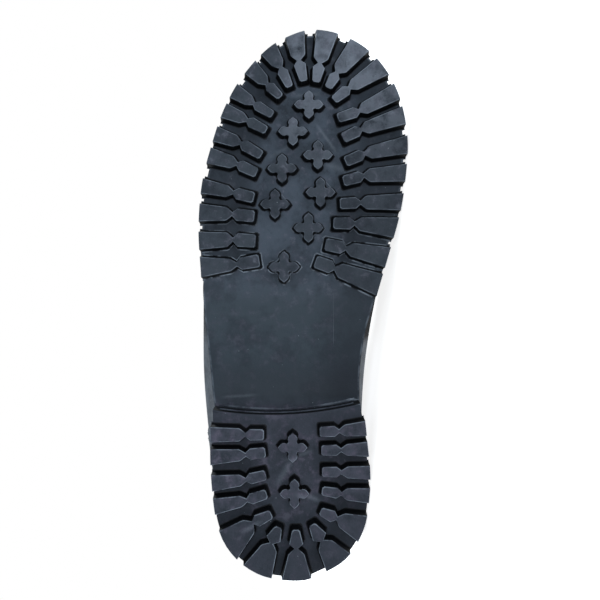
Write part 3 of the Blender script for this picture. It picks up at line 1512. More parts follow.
@dataclass
class Sole:
    """Outsole, heel, midsole and welt."""

    shop: Workshop
    rubber: Material
    welt_thickness: float = 3.2
    breast_gap: float = 0.8
    spine: tuple = (28.0, 262.0)
    sheet_inset: tuple = ((0.0, 1.2), (88.0, 1.0), (104.0, -0.3), (160.0, -0.3), (176.0, 1.2), (311.0, 1.2))
    heel_inset: tuple = ((0.0, -0.6), (30.0, -0.5), (60.0, 0.5), (100.0, 1.0))
    lift_line: tuple = ((0.0, 0.0), (0.45, 0.0), (0.5, -0.5), (0.55, 0.0), (1.0, 0.0))
    band_grooves: tuple = ((0.0, 0.0), (0.15, 0.1), (0.4, -0.35), (0.6, -0.35), (0.85, 0.1), (1.0, 0.0))

    def build(self) -> None:
        """Makes the sole's pieces."""
        self.make_forefoot()
        self.make_heel()
        self.make_midsole()

    def make_forefoot(self) -> None:
        """The outsole: its sheet, lugs and bosses, and the bead in front of the heel."""
        shape = Shape()
        edge = SOLE.inset(SmoothTable(self.sheet_inset)(SOLE.points[:, 0]))
        SoleLayer(edge, outsole_bottom, outsole_top, self.spine, loops=16, edge_rim=0.75).add_to(shape)
        Tread(FOREFOOT_LUGS, FOREFOOT_BOSSES, LUG_DRAFT, SEED).add_to(shape)
        share = np.linspace(0.02, 0.985, 60)
        x = breast(share) + 0.9
        y = mix(SOLE.y(x, Side.LATERAL) + 2.0, SOLE.y(x, Side.MEDIAL) - 2.0, share)
        bead = np.column_stack([x, y, outsole_bottom(x) + 0.1])
        shape.add_tube(bead, 0.7, sides=10, rim=mix(0.4, 1.5, share**6))
        self.shop.make("tread_sole", shape, [self.rubber], "rubber", ("outsole",), sharp=16.0)

    def make_heel(self) -> None:
        """The heel block with its lugs and bosses."""
        edge = SOLE.inset(SmoothTable(self.heel_inset)(SOLE.points[:, 0]))
        share = np.linspace(0.0, 1.0, 25)
        ends = edge.y(breast(0.0), Side.LATERAL), edge.y(breast(1.0), Side.MEDIAL)
        face = np.column_stack([breast(share), mix(*ends, share)])
        lateral, medial = edge.sides[Side.LATERAL][1:], edge.sides[Side.MEDIAL][::-1]
        back = [
            *medial[medial[:, 0] < BREAST_MEDIAL - self.breast_gap],
            *lateral[lateral[:, 0] < BREAST_LATERAL - self.breast_gap],
        ]
        shape = Shape()
        SoleLayer(
            Outline([*back, *face]), lambda x: 0 * x + LUG_HEIGHT, lambda x: 0 * x + HEEL_SEAT,
            (25.0, 78.0), edge_radius=0.5, wall_push=self.lift_line,
        ).add_to(shape)
        Tread(HEEL_LUGS, HEEL_BOSSES, HEEL_LUG_DRAFT, SEED + 1).add_to(shape)
        step = np.column_stack([face + (0.12, 0.0), np.full(len(face), 0.62 * HEEL_SEAT)])
        shape.add_tube(step[1:-1], 0.55, sides=8, rim=0.22)
        self.shop.make("heel_block", shape, [self.rubber], "rubber", ("heel",), sharp=16.0)

    def make_midsole(self) -> None:
        """The midsole band and the welt on it."""
        edge = SOLE.inset(MIDSOLE_INSET)

        def parting(x: Reals) -> Reals:
            """Where the welt lies on the band."""
            return feather_line(x) - self.welt_thickness

        shape = Shape()
        SoleLayer(
            edge, midsole_bottom, lambda x: parting(x) - 0.05, self.spine, 0.5, self.band_grooves, loops=2
        ).add_to(shape)
        self.shop.make("midsole_band", shape, [self.rubber], "rubber", ("midsole",), sharp=30.0)
        shape = Shape()
        SoleLayer(edge, parting, feather_line, self.spine, 0.7, loops=4).add_to(shape)
        self.shop.make("welt", shape, [self.rubber], "rubber", sharp=30.0)

    def welt_seam(self) -> np.ndarray:
        """The line of stitches on the welt's ledge.

        Returns:
            Points along it.
        """
        inset = SmoothTable(FEATHER_INSET)(SOLE.points[:, 0])
        middle = SOLE.inset(MIDSOLE_INSET + (inset - MIDSOLE_INSET) * 0.42).points
        closed = np.vstack([middle, middle[:1]])
        return np.column_stack([closed, feather_line(closed[:, 0]) + 0.05])


# --- upper
FRONT_LENGTH = LAST.front.length
STAY = 1.5  # height of the lace stay's face over the vamp
DENSE = 1.2  # reach of the rounding at a panel's edge
SEAM_LIFT = 0.02  # a seam's middle over the leather


def edge_steps(width: float, across: int) -> np.ndarray:
    """Distances across a panel from one edge to the other, closer together at the edges.

    Args:
        width: the panel's width.
        across: steps in its middle.

    Returns:
        The distances.
    """
    near = np.array([0.0, 0.02, 0.22, 0.6, DENSE])
    inside = np.linspace(DENSE, width - DENSE, across)[1:-1]
    return np.concatenate([near, inside, width - near[::-1]])


@dataclass
class Panel:
    """A piece of leather laid on the upper between two curves, each giving a share round the ring.

    Attributes:
        low, high: heights at its foot and top.
        first, last: the share round the ring of each side edge, by height.
        base, top: its underside's and its face's height over the upper, in millimetres.
        rows, columns: points along and across.
        puff: extra height in its middle, for padding.
    """

    low: float
    high: float
    first: Callable
    last: Callable
    base: float = -0.3
    top: float = PANEL
    rows: int = 60
    columns: int = 40
    puff: float = 0.0

    def grid(self) -> tuple:
        """The heights, shares round the ring and distances from the nearest edge, as arrays.

        Returns:
            The three arrays.
        """
        length = (self.high - self.low) * FRONT_LENGTH
        up = edge_steps(length, self.rows)
        heights = self.low + up / length * (self.high - self.low)
        first, last = self.first(heights), self.last(heights)
        level = LAST.on_ring(heights[:, None], mix(first[:, None], last[:, None], np.linspace(0, 1, 60)))
        width = np.linalg.norm(np.diff(level, axis=1), axis=-1).sum(axis=1)
        across = np.stack([edge_steps(max(w, 3.2 * DENSE), self.columns) for w in width])
        share = across / across[:, -1:]
        arounds = first[:, None] + share * (last - first)[:, None]
        side = np.minimum(across, across[:, -1:] - across)
        end = np.minimum(up, length - up)[:, None]
        return heights[:, None] + 0 * arounds, arounds, np.minimum(side, end)

    def add_to(self, shape: Shape) -> None:
        """Adds the panel as a closed body.

        Args:
            shape: the shape it goes into.
        """
        heights, arounds, distance = self.grid()
        lift = self.base + (self.top - self.base) * quarter_round(distance, DENSE)
        lift = lift + self.puff * smooth_step(distance / 9.0)
        outer = LAST.surface(heights, arounds, -lift)
        inner = LAST.surface(heights, arounds, -self.base + 0.05)
        shape.add_skin(outer, inner)

    def side_seam(self, inset: float, at_last: bool, low: float, high: float) -> np.ndarray:
        """A line of stitches beside one side edge, between two heights.

        Args:
            inset: distance in from the edge.
            at_last: whether it is the last edge.
            low, high: the heights.

        Returns:
            Points along it.
        """
        heights = np.linspace(low, high, 160)
        edge, other = (self.last, self.first) if at_last else (self.first, self.last)
        here = LAST.surface(heights, edge(heights), -self.top)
        toward = LAST.surface(heights, mix(edge(heights), other(heights), 0.01), -self.top)
        step = np.linalg.norm(toward - here, axis=1)
        arounds = mix(edge(heights), other(heights), 0.01 * inset / step)
        return LAST.surface(heights, arounds, -self.top - SEAM_LIFT)

    def level_seam(self, height: float, trim: float = 0.01) -> np.ndarray:
        """A line of stitches along a ring.

        Args:
            height: the ring's height.
            trim: share left out at each end.

        Returns:
            Points along it.
        """
        level = np.array([height])
        first, last = float(self.first(level)[0]), float(self.last(level)[0])
        arounds = np.linspace(mix(first, last, trim), mix(first, last, 1 - trim), 240)
        return LAST.surface(height, arounds, -self.top - SEAM_LIFT)


@dataclass
class LaceStay:
    """The U-shaped facing round the throat that carries the eyelets, in millimetres up and across."""

    width: float = 19.5
    base: float = -0.3
    seam_insets: tuple = (2.0, 17.7, 15.5)

    def __post_init__(self) -> None:
        """Traces the throat's edge from the outer side down round its foot and up the inner side."""
        turn = np.linspace(0.0, 1.0, 26)[1:] ** 2
        heights = np.concatenate([THROAT_START + THROAT_ROUNDING * turn, np.linspace(0.475, 1.0, 60)])
        side = np.column_stack([heights * FRONT_LENGTH, throat_half_width(heights)])
        foot = np.array([[THROAT_START * FRONT_LENGTH, 0.0]])
        lateral = side[::-1] * (1.0, -1.0)
        path = np.vstack([lateral, foot, side])
        steps = run_lengths(path)
        self.length = steps[-1]
        self.at = edge_steps(self.length, 170)
        self.edge = np.column_stack([np.interp(self.at, steps, column) for column in path.T])

    def offset(self, distance: float) -> np.ndarray:
        """The throat's edge moved away from the throat, with round corners at its foot.

        Args:
            distance: how far it is moved.

        Returns:
            Points up and across.
        """
        along = np.gradient(self.edge, axis=0)
        along /= np.linalg.norm(along, axis=1)[:, None]
        out = np.stack([-along[:, 1], along[:, 0]], axis=1)
        out = out * np.sign(-out[len(out) // 2, 0])
        return self.edge + out * distance

    def points(self, distance: float, lift: Reals) -> np.ndarray:
        """Points at a distance from the throat's edge."""
        flat = self.offset(distance)
        return LAST.over_throat(np.minimum(flat[:, 0] / FRONT_LENGTH, 1.0), flat[:, 1], lift)

    def add_to(self, shape: Shape) -> None:
        """Adds the facing as a closed body.

        Args:
            shape: the shape it goes into.
        """
        across = edge_steps(self.width, 16)
        end = np.minimum(self.at, self.length - self.at)
        outer, inner = [], []
        for distance in across:
            near = np.minimum(min(distance, self.width - distance), end)
            lift = self.base + (STAY - self.base) * quarter_round(near, DENSE)
            outer.append(self.points(distance, lift))
            inner.append(self.points(distance, self.base - 0.05))
        shape.add_skin(np.array(outer), np.array(inner))

    def seams(self) -> list:
        """Lines of stitches beside both edges, doubled on the outer one."""
        return [self.points(distance, STAY + SEAM_LIFT)[3:-3] for distance in self.seam_insets]


@dataclass
class Upper:
    """The shell of the upper with the leather laid on it."""

    shop: Workshop
    leather: Material
    lining: Material
    collar_low: float = 0.865
    counter_top: float = 0.36
    counter_front: float = 0.335
    rim_radius: float = 2.75
    back_gap: float = 0.004
    vamp_line: tuple = (
        (0.0, 0.565), (0.10, 0.585), (0.20, 0.64), (0.30, 0.735), (0.37, 0.84), (0.41, 0.90),
    )
    seams: list = field(default_factory=list)

    @staticmethod
    def shares(columns: int) -> np.ndarray:
        """Shares of the way from the back to the front, closer together at both ends of the foot."""
        share = np.linspace(0.0, 1.0, columns + 1)
        return share + 0.06 * np.sin(2 * np.pi * share)

    def heights(self) -> np.ndarray:
        """Rings of the shell, closer together where the throat rounds open.

        Returns:
            Their heights.
        """
        turn = np.linspace(0.0, 1.0, 17)[1:] ** 1.8
        opening = THROAT_START + THROAT_ROUNDING * turn
        return np.concatenate([np.linspace(0.0, THROAT_START, 54), opening, np.linspace(0.47, 1.0, 72)[1:]])

    def shell(self) -> Shape:
        """The shell: leather outside, lining inside.

        Returns:
            Its shape.
        """
        heights = self.heights()
        half = throat_half_width(heights)
        shares = self.shares(78)
        ends = [np.where(half > 0, LAST.around_at(heights, half, side.value), side.value) for side in Side]
        arounds = np.hstack([np.outer(ends[0], shares[:0:-1]), np.outer(ends[1], shares)])
        grid = heights[:, None] + 0 * arounds
        outer, inner = LAST.surface(grid, arounds), LAST.surface(grid, arounds, WALL)
        shape = Shape()
        closed = int((heights <= THROAT_START).sum())
        shape.add_skin(outer, inner, (0, 1, 0), closed_rows=closed)
        return shape

    def counter_edge(self, heights: Reals, inset: float = 0.0) -> Reals:
        """Side edge of the heel counter, as a share round the ring, or a line inset from it.

        Args:
            heights: shares of the way up.
            inset: distance in from the edge.

        Returns:
            Shares round the ring.
        """
        top = self.counter_top - inset / FRONT_LENGTH * 1.6
        share = np.clip(1.0 - (np.maximum(heights, 0.0) / top) ** 2.6, 0.0016, 1.0)
        return (self.counter_front - inset * 0.0032) * np.sqrt(share)

    def counter_seam(self, inset: float) -> np.ndarray:
        """A line of stitches inside the counter's edge, from one side over the top to the other.

        Args:
            inset: distance in from the edge.

        Returns:
            Points along it.
        """
        turn = np.linspace(0.0, 1.0, 300)
        heights = (self.counter_top - inset / FRONT_LENGTH * 1.6) * (1.0 - (1.0 - turn) ** 2.2) ** 0.9
        heights = np.clip(heights, 0.014, None)
        side = self.counter_edge(heights, inset)
        lift = -PANEL - 0.6 - SEAM_LIFT
        return np.vstack([LAST.surface(heights, -side, lift), LAST.surface(heights, side, lift)[::-1]])

    def panels(self) -> dict:
        """The panels laid on the shell, in the order they are laid.

        Returns:
            Each panel by its name.
        """
        front = SmoothTable(self.vamp_line)
        gap = self.back_gap

        def under_stay(heights: Reals, side: float, width: float) -> Reals:
            """An edge hidden under the lace stay, a width from the throat."""
            return LAST.around_at(heights, throat_half_width(heights) + width, side)

        def quarter_front(heights: Reals, side: float) -> Reals:
            """Front edge of a quarter: down the vamp, and above it under the lace stay."""
            share = smooth_step((heights - 0.36) / 0.06)
            return mix(side * front(heights), under_stay(heights, side, 7.0), share)

        def back_edge(heights: Reals) -> Reals:
            """Half of the backstay's width."""
            return 0.148 + 0.02 * smooth_step((heights - 0.5) / 0.4) + 0 * heights

        return {
            "quarter_lateral": Panel(-0.004, 0.985, lambda h: quarter_front(h, -1.0), lambda h: 0 * h - gap),
            "quarter_medial": Panel(-0.004, 0.985, lambda h: 0 * h + gap, lambda h: quarter_front(h, 1.0)),
            "heel_counter": Panel(
                -0.004, self.counter_top, lambda h: -self.counter_edge(h), self.counter_edge,
                top=PANEL + 0.6, rows=60, columns=70,
            ),
            "backstay": Panel(
                0.33, 0.90, lambda h: -back_edge(h), back_edge, top=PANEL + 0.85, rows=40, columns=16
            ),
            "collar_band": Panel(
                self.collar_low, 0.997,
                lambda h: under_stay(h, -1.0, 5.0), lambda h: under_stay(h, 1.0, 5.0),
                top=PANEL + 0.9, rows=16, columns=150, puff=1.3,
            ),
        }

    def build(self, holes: bpy.types.Object) -> None:
        """Makes the upper's pieces.

        Args:
            holes: the tool that cuts the eyelet holes.
        """
        looks = [self.leather, self.lining]
        shell = self.shop.make("upper_shell", self.shell(), looks, "leather", ("upper",))
        self.shop.cut(shell, holes)
        panels, stay = self.panels(), LaceStay()
        for name, panel in (*panels.items(), ("lace_stay", stay)):
            shape = Shape()
            panel.add_to(shape)
            made = self.shop.make(name, shape, [self.leather], "leather")
            if name not in ("heel_counter", "backstay"):
                self.shop.cut(made, holes)
        self.make_rim()
        self.seams += stay.seams()
        for inset in (2.2, 4.6):
            self.seams.append(panels["quarter_lateral"].side_seam(inset, False, 0.012, 0.36))
            self.seams.append(panels["quarter_medial"].side_seam(inset, True, 0.012, 0.36))
            self.seams.append(self.counter_seam(inset))
        for at_last in (False, True):
            self.seams.append(panels["backstay"].side_seam(2.0, at_last, 0.36, 0.862))
        band = panels["collar_band"]
        for rise in (2.0, 4.2):
            self.seams.append(band.level_seam(self.collar_low + rise / FRONT_LENGTH, 0.05))

    def make_rim(self) -> None:
        """The rolled edge along the top of the upper."""
        half = float(throat_half_width(1.0)) + 0.6
        ends = [float(LAST.around_at(1.0, half, side.value)) for side in Side]
        arounds = np.linspace(*ends, 260)
        path = LAST.surface(np.full(260, 0.999), arounds, WALL / 2)
        shape = Shape()
        shape.add_tube(path, self.rim_radius, sides=14)
        self.shop.make("top_line", shape, [self.leather], "leather")


@dataclass
class Collar:
    """Padded roll inside the top of the shaft."""

    shop: Workshop
    lining: Material
    low: float = 0.80
    high: float = 1.012
    from_throat: float = 18.0
    channels: int = 3
    rows: int = 44
    columns: int = 220

    def build(self) -> None:
        """Makes the roll: rows of padding between stitched channels."""
        share = np.linspace(0.0, 1.0, self.rows)
        heights = mix(self.low, self.high, share)
        around = np.linspace(0.0, 1.0, self.columns)
        width = throat_half_width(np.minimum(heights, 1.0)) + self.from_throat
        first, last = (LAST.around_at(heights, width, side.value) for side in Side)
        arounds = first[:, None] + (last - first)[:, None] * around
        end = np.minimum(around, 1.0 - around)[None, :] * 250.0
        rise = np.minimum(share, 1.0 - share)[:, None] * 48.0
        round_off = quarter_round(np.minimum(end, rise), 5.0)
        quilt = abs(np.sin(np.pi * share * self.channels))[:, None] ** 0.55
        pucker = 0.4 * np.sin(around * 210.0 + 3.0 * np.sin(around * 17.0))[None, :] * (1.0 - 0.7 * quilt)
        body = 4.0 + 3.0 * smooth_step(share / 0.35)[:, None]
        thickness = 0.5 + round_off * (body * (0.36 + 0.64 * quilt) + pucker)
        grid = heights[:, None] + 0 * arounds
        depth = WALL + 0.35
        shape = Shape()
        shape.add_skin(LAST.surface(grid, arounds, depth), LAST.surface(grid, arounds, depth + thickness))
        made = self.shop.make("collar_padding", shape, [self.lining], "lining", ("collar",), sharp=60.0)


@dataclass
class Tongue:
    """Padded tongue: thin sides under the lace stay and stitched channels down its middle."""

    shop: Workshop
    leather: Material
    lining: Material
    side_cover: float = 13.0
    channel: float = 11.5
    rung: float = 26.0
    tip_start: float = 0.985
    rows: int = 150
    columns: int = 70

    def build(self) -> None:
        """Makes the tongue, leather outside and lining inside."""
        up = np.linspace(0.0, 1.0, self.rows)
        heights = mix(THROAT_START - TONGUE_TUCK, TONGUE_TOP, up)
        half = np.maximum(throat_half_width(heights), 7.0) + self.side_cover
        tip = np.clip((heights - self.tip_start) / (TONGUE_TOP + 0.002 - self.tip_start), 0.0, 1.0)
        half = half * np.sqrt(1.0 - 0.93 * tip**3.2)
        across = np.linspace(-1.0, 1.0, self.columns)
        widths = half[:, None] * across
        side = np.where(widths >= 0, 1.0, -1.0)
        grid = heights[:, None] + 0 * widths
        around = LAST.around_at(grid, abs(widths), side)
        around = np.where(around < 0, around + 2.0, around)
        run = up[:, None] * (TONGUE_TOP - THROAT_START + TONGUE_TUCK) * FRONT_LENGTH
        edge = np.minimum(half[:, None] - abs(widths), np.minimum(run, run[-1:] - run))
        soft = quarter_round(edge, 4.0)
        gauge = throat_half_width(heights)[:, None]
        bulge = smooth_step((gauge + 2.0 - abs(widths)) / 7.0)
        above = smooth_step((heights - self.tip_start) / 0.03)[:, None]
        bulge = np.maximum(bulge, above)
        quilt = abs(np.cos(np.pi * widths / self.channel)) ** 0.55
        rung = abs(np.sin(np.pi * run / self.rung)) ** 0.4
        face = 1.0 + soft * (0.9 + bulge * 2.6 * (0.45 + 0.55 * quilt * rung))
        base = WALL + TONGUE_CLEARANCE + TONGUE_THICKNESS
        outer = LAST.surface(grid, around, base - face)
        inner = LAST.surface(grid, around, base - 0.6 + 0.5 * soft)
        shape = Shape()
        shape.add_skin(outer, inner, (0, 1, 0))
        looks = [self.leather, self.lining]
        made = self.shop.make("tongue_padding", shape, looks, "leather", ("tongue",), sharp=60.0)


@dataclass
class Insole:
    """Footbed on the midsole, a little dished."""

    shop: Workshop
    lining: Material

    def build(self) -> None:
        """Makes the footbed."""
        around = np.linspace(0.0, -2.0, 241)[:-1]
        ring = LAST.surface(0.0 * around, around, WALL + INSOLE_CLEARANCE)
        edge = Outline(ring[:, :2])
        shape = Shape()
        SoleLayer(edge, insole_bottom, insole_top, (45.0, 255.0), 0.9, loops=5).add_to(shape)
        self.shop.make("footbed", shape, [self.lining], "lining", ("insole",))


# --- eyelets and lace
@dataclass
class Eyelets:
    """Seven pairs of turned eyelets through the lace stay."""

    shop: Workshop
    enamel: Material
    sides: int = 28

    @staticmethod
    def places() -> dict:
        """Height and width of each eyelet, by side and by number from the toe end up.

        Returns:
            A pair of numbers for each.
        """
        found = {}
        for side in Side:
            for i in range(EYELET_PAIRS):
                height = mix(EYELET_FIRST, EYELET_LAST, i / (EYELET_PAIRS - 1))
                width = float(throat_half_width(height)) + EYELET_FROM_EDGE
                found[side, i] = (height, side.value * width)
        return found

    @staticmethod
    def axes(height: float, width: float) -> tuple:
        """The point on the upper's face and the direction straight out of it.

        Args:
            height, width: the eyelet's place.

        Returns:
            The point and the direction.
        """
        origin = LAST.over_throat(height, width, 0.0)
        out = LAST.over_throat(height, width, 1.0) - origin
        return origin, out / np.linalg.norm(out)

    def turned(self, place: tuple, profile: tuple) -> list:
        """Rings of a closed profile of (radius, height) turned about an eyelet's middle.

        Args:
            place: the eyelet's height and width.
            profile: rows of radius, height and more.

        Returns:
            One ring for each side.
        """
        origin, out = self.axes(*place)
        across = np.cross(out, (0.0, 0.0, 1.0))
        across /= np.linalg.norm(across)
        up = np.cross(out, across)
        rings = []
        for angle in np.linspace(0.0, 2 * np.pi, self.sides, endpoint=False):
            spoke = across * math.cos(angle) + up * math.sin(angle)
            rings.append([origin + spoke * r + out * h for r, h, *_ in profile])
        return rings

    def add_turned(self, shape: Shape, place: tuple, profile: tuple) -> None:
        """Adds a turned ring.

        Args:
            shape: the shape it goes into.
            place: the eyelet's height and width.
            profile: rows of radius, height and the mark rim.
        """
        rings = self.turned(place, profile)
        count, sides = len(profile), self.sides
        faces = []
        for k in range(sides):
            here, there = k * count, (k + 1) % sides * count
            for i in range(count):
                j = (i + 1) % count
                faces.append((here + i, there + i, there + j, here + j))
        shape.add(np.concatenate(rings), faces, rim=np.tile([p[2] for p in profile], sides))

    def build(self) -> None:
        """Makes the eyelets."""
        seat = STAY - 0.1
        profile = (
            (EYELET_HOLE, -4.6, 0.0), (3.0, -4.9, 0.2), (4.6, -4.75, 0.0), (4.6, -4.45, 0.0),
            (EYELET_BARREL, -4.3, 0.0), (EYELET_BARREL, seat, 0.0),
            (EYELET_FLANGE - 0.1, seat, 0.0), (EYELET_FLANGE, seat + 0.25, 0.5),
            (EYELET_FLANGE - 0.25, seat + 0.6, 0.3), (4.5, seat + 0.95, 0.4), (3.7, seat + 1.12, 0.8),
            (3.1, seat + 1.05, 1.0), (2.65, seat + 0.75, 0.7), (EYELET_HOLE, seat + 0.3, 0.2),
        )
        names = [f"eyelet_{side.name.lower()}_{i + 1}" for side, i in self.places()]
        shape = Shape()
        for place in self.places().values():
            self.add_turned(shape, place, profile)
        self.shop.make("eyelets", shape, [self.enamel], "eyelet_metal", tuple(names), sharp=50.0)

    def holes(self) -> bpy.types.Object:
        """Cylinders that cut the holes; they are never shown.

        Returns:
            The object that cuts them.
        """
        shape = Shape()
        for place in self.places().values():
            origin, out = self.axes(*place)
            ring = [points[0] for points in self.turned(place, ((EYELET_BARREL + 0.35, 0.0),))]
            shape.add_rings([[p - out * 8.0 for p in ring], [p + out * 8.0 for p in ring]])
        mesh = bpy.data.meshes.new("hole_tool")
        mesh.from_pydata(self.shop.stance(np.array(shape.points)), [], shape.faces)
        Workshop.tidy(mesh)
        tool = add_object("hole_tool", mesh)
        bpy.context.view_layer.update()
        return tool


@dataclass
class Lace:
    """One cord: a bar over the lowest pair of eyelets, crossed up to the top pair, where it ends."""

    shop: Workshop
    cord: Material
    under: float = -6.3
    step: float = 0.8
    bar: tuple = ((0.86, 4.5), (0.5, 3.9), (0.0, 3.6), (-0.5, 3.9), (-0.86, 4.5))

    def climb(self, side: int) -> list:
        """Knots of one half of the lace, from under its lowest eyelet to inside the top one.

        Args:
            side: the side of the lowest eyelet, -1 or 1.

        Returns:
            Points of height, width and lift.
        """
        places, under = Eyelets.places(), self.under
        knots = []
        over = 1.0 if side < 0 else -1.0

        def up(share: float) -> float:
            """Height a share of the way up a crossing."""
            return mix(h, top, share)

        for i in range(EYELET_PAIRS - 1):
            (h, w), (top, v) = places[Side(side), i], places[Side(-side), i + 1]
            near, far = (float(throat_half_width(height)) for height in (h, top))
            if i == 0:
                knots += [(h, w, 3.4), (h, w, 0.5), (h + 0.001, w, -3.4)]
                knots += [(up(0.06), w * 0.88, under + 0.2), (up(0.16), side * (near + 1.5), under)]
                knots += [(up(0.34), side * 6.0, -3.6 + over), (up(0.5), 0.0, -2.2 + 2.0 * over)]
            else:
                knots += [(h - 0.004, w * 1.06, -5.4), (h, w, -1.5)]
                knots += [(h, w, 1.4), (h + 0.002, w * 0.955, 4.3)]
                knots += [(up(0.2), side * (near + 2.0), 4.0), (up(0.35), side * 6.6, 2.0 + 1.4 * over)]
                knots.append((up(0.5), 0.0, 0.2 + 2.0 * over))
            knots.append((up(0.68), -side * 8.0, -3.4 + 0.8 * over))
            knots += [(up(0.82), -side * (far + 0.5), under), (up(0.95), v * 0.86, under - 0.1)]
            side, over = -side, -over
        h, w = places[Side(side), EYELET_PAIRS - 1]
        return knots + [(h - 0.002, w, -4.6), (h, w, -2.0), (h, w, 0.9)]

    def build(self) -> None:
        """Makes the lace."""
        lateral, medial = self.climb(-1), self.climb(1)
        h, w = Eyelets.places()[Side.LATERAL, 0]
        bar = [(h, w * share, lift) for share, lift in self.bar]
        knots = np.array([*lateral[::-1], *bar, *medial])
        fine = Profile(tuple(map(tuple, knots * (FRONT_LENGTH, 1.0, 1.0)))).evenly(self.step)
        path = LAST.over_throat(fine[:, 0] / FRONT_LENGTH, fine[:, 1], fine[:, 2])
        for _ in range(3):
            path[1:-1] = (path[:-2] + 2 * path[1:-1] + path[2:]) / 4
        shape = Shape()
        uvs = shape.add_tube(path, LACE_RADIUS, sides=14)
        shape.marks["run"], shape.marks["spin"] = list(uvs[:, 0]), list(uvs[:, 1])
        crossings = tuple(f"lace_crossing_{i + 1}" for i in range(EYELET_PAIRS - 1))
        self.shop.make("lace", shape, [self.cord], "lace_cord", crossings, sharp=60.0)


# --- stitches
class StitchRow:
    """Stitches set out along lines by Geometry Nodes."""

    NODES = {
        "given": "NodeGroupInput",
        "curve": "GeometryNodeMeshToCurve",
        "spaced": "GeometryNodeResampleCurve",
        "bead": "GeometryNodeMeshUVSphere",
        "size": "ShaderNodeCombineXYZ",
        "tangent": "GeometryNodeInputTangent",
        "turn": "FunctionNodeAlignRotationToVector",
        "placed": "GeometryNodeInstanceOnPoints",
        "real": "GeometryNodeRealizeInstances",
        "painted": "GeometryNodeSetMaterial",
        "result": "NodeGroupOutput",
    }
    LINKS = (
        ("given", "Lines", "curve", "Mesh"),
        ("curve", "Curve", "spaced", "Curve"),
        ("given", "Pitch", "spaced", "Length"),
        ("given", "Thickness", "size", "X"),
        ("given", "Thickness", "size", "Y"),
        ("given", "Length", "size", "Z"),
        ("tangent", "Tangent", "turn", "Vector"),
        ("spaced", "Curve", "placed", "Points"),
        ("bead", "Mesh", "placed", "Instance"),
        ("turn", "Rotation", "placed", "Rotation"),
        ("size", "Vector", "placed", "Scale"),
        ("placed", "Instances", "real", "Geometry"),
        ("real", "Geometry", "painted", "Geometry"),
        ("given", "Thread", "painted", "Material"),
        ("painted", "Geometry", "result", "Stitches"),
    )

    def __init__(self) -> None:
        """Builds the node tree once."""
        tree = bpy.data.node_groups.new("stitch_row", "GeometryNodeTree")
        self.tree = tree
        self.sockets = {}
        face = tree.interface
        face.new_socket("Lines", in_out="INPUT", socket_type="NodeSocketGeometry")
        kinds = {"Pitch": "Float", "Length": "Float", "Thickness": "Float", "Thread": "Material"}
        for name, kind in kinds.items():
            made = face.new_socket(name, in_out="INPUT", socket_type=f"NodeSocket{kind}")
            self.sockets[name] = made.identifier
        face.new_socket("Stitches", in_out="OUTPUT", socket_type="NodeSocketGeometry")
        nodes = {name: tree.nodes.new(kind) for name, kind in self.NODES.items()}
        nodes["spaced"].mode = "LENGTH"
        nodes["turn"].axis = "Z"
        for name, value in (("Segments", 7), ("Rings", 5), ("Radius", 0.5)):
            nodes["bead"].inputs[name].default_value = value
        for start, output, end, entry in self.LINKS:
            tree.links.new(nodes[start].outputs[output], nodes[end].inputs[entry])

    def sew(
        self, shop: Workshop, name: str, lines: list, thread: Material, slot: str,
        pitch: float, length: float, thickness: float,
    ) -> None:
        """Makes one piece of stitches.

        Args:
            shop: hangs the piece on the frame.
            name: the piece's name.
            lines: arrays of points, in millimetres.
            thread: material of the stitches.
            slot: the record's material slot.
            pitch, length, thickness: sizes of the stitches, in millimetres.
        """
        points, edges = [], []
        for line in lines:
            start = len(points)
            points.extend(line)
            edges.extend((start + i, start + i + 1) for i in range(len(line) - 1))
        mesh = bpy.data.meshes.new(name)
        mesh.from_pydata(shop.stance(np.array(points)), edges, [])
        made = add_object(name, mesh)
        change = made.modifiers.new("stitches", "NODES")
        change.node_group = self.tree
        for key, value in (("Pitch", pitch), ("Length", length), ("Thickness", thickness)):
            change[self.sockets[key]] = value * MM
        change[self.sockets["Thread"]] = thread
        keep_result(made)
        made.data.shade_smooth()
        shop.hang(made, slot)


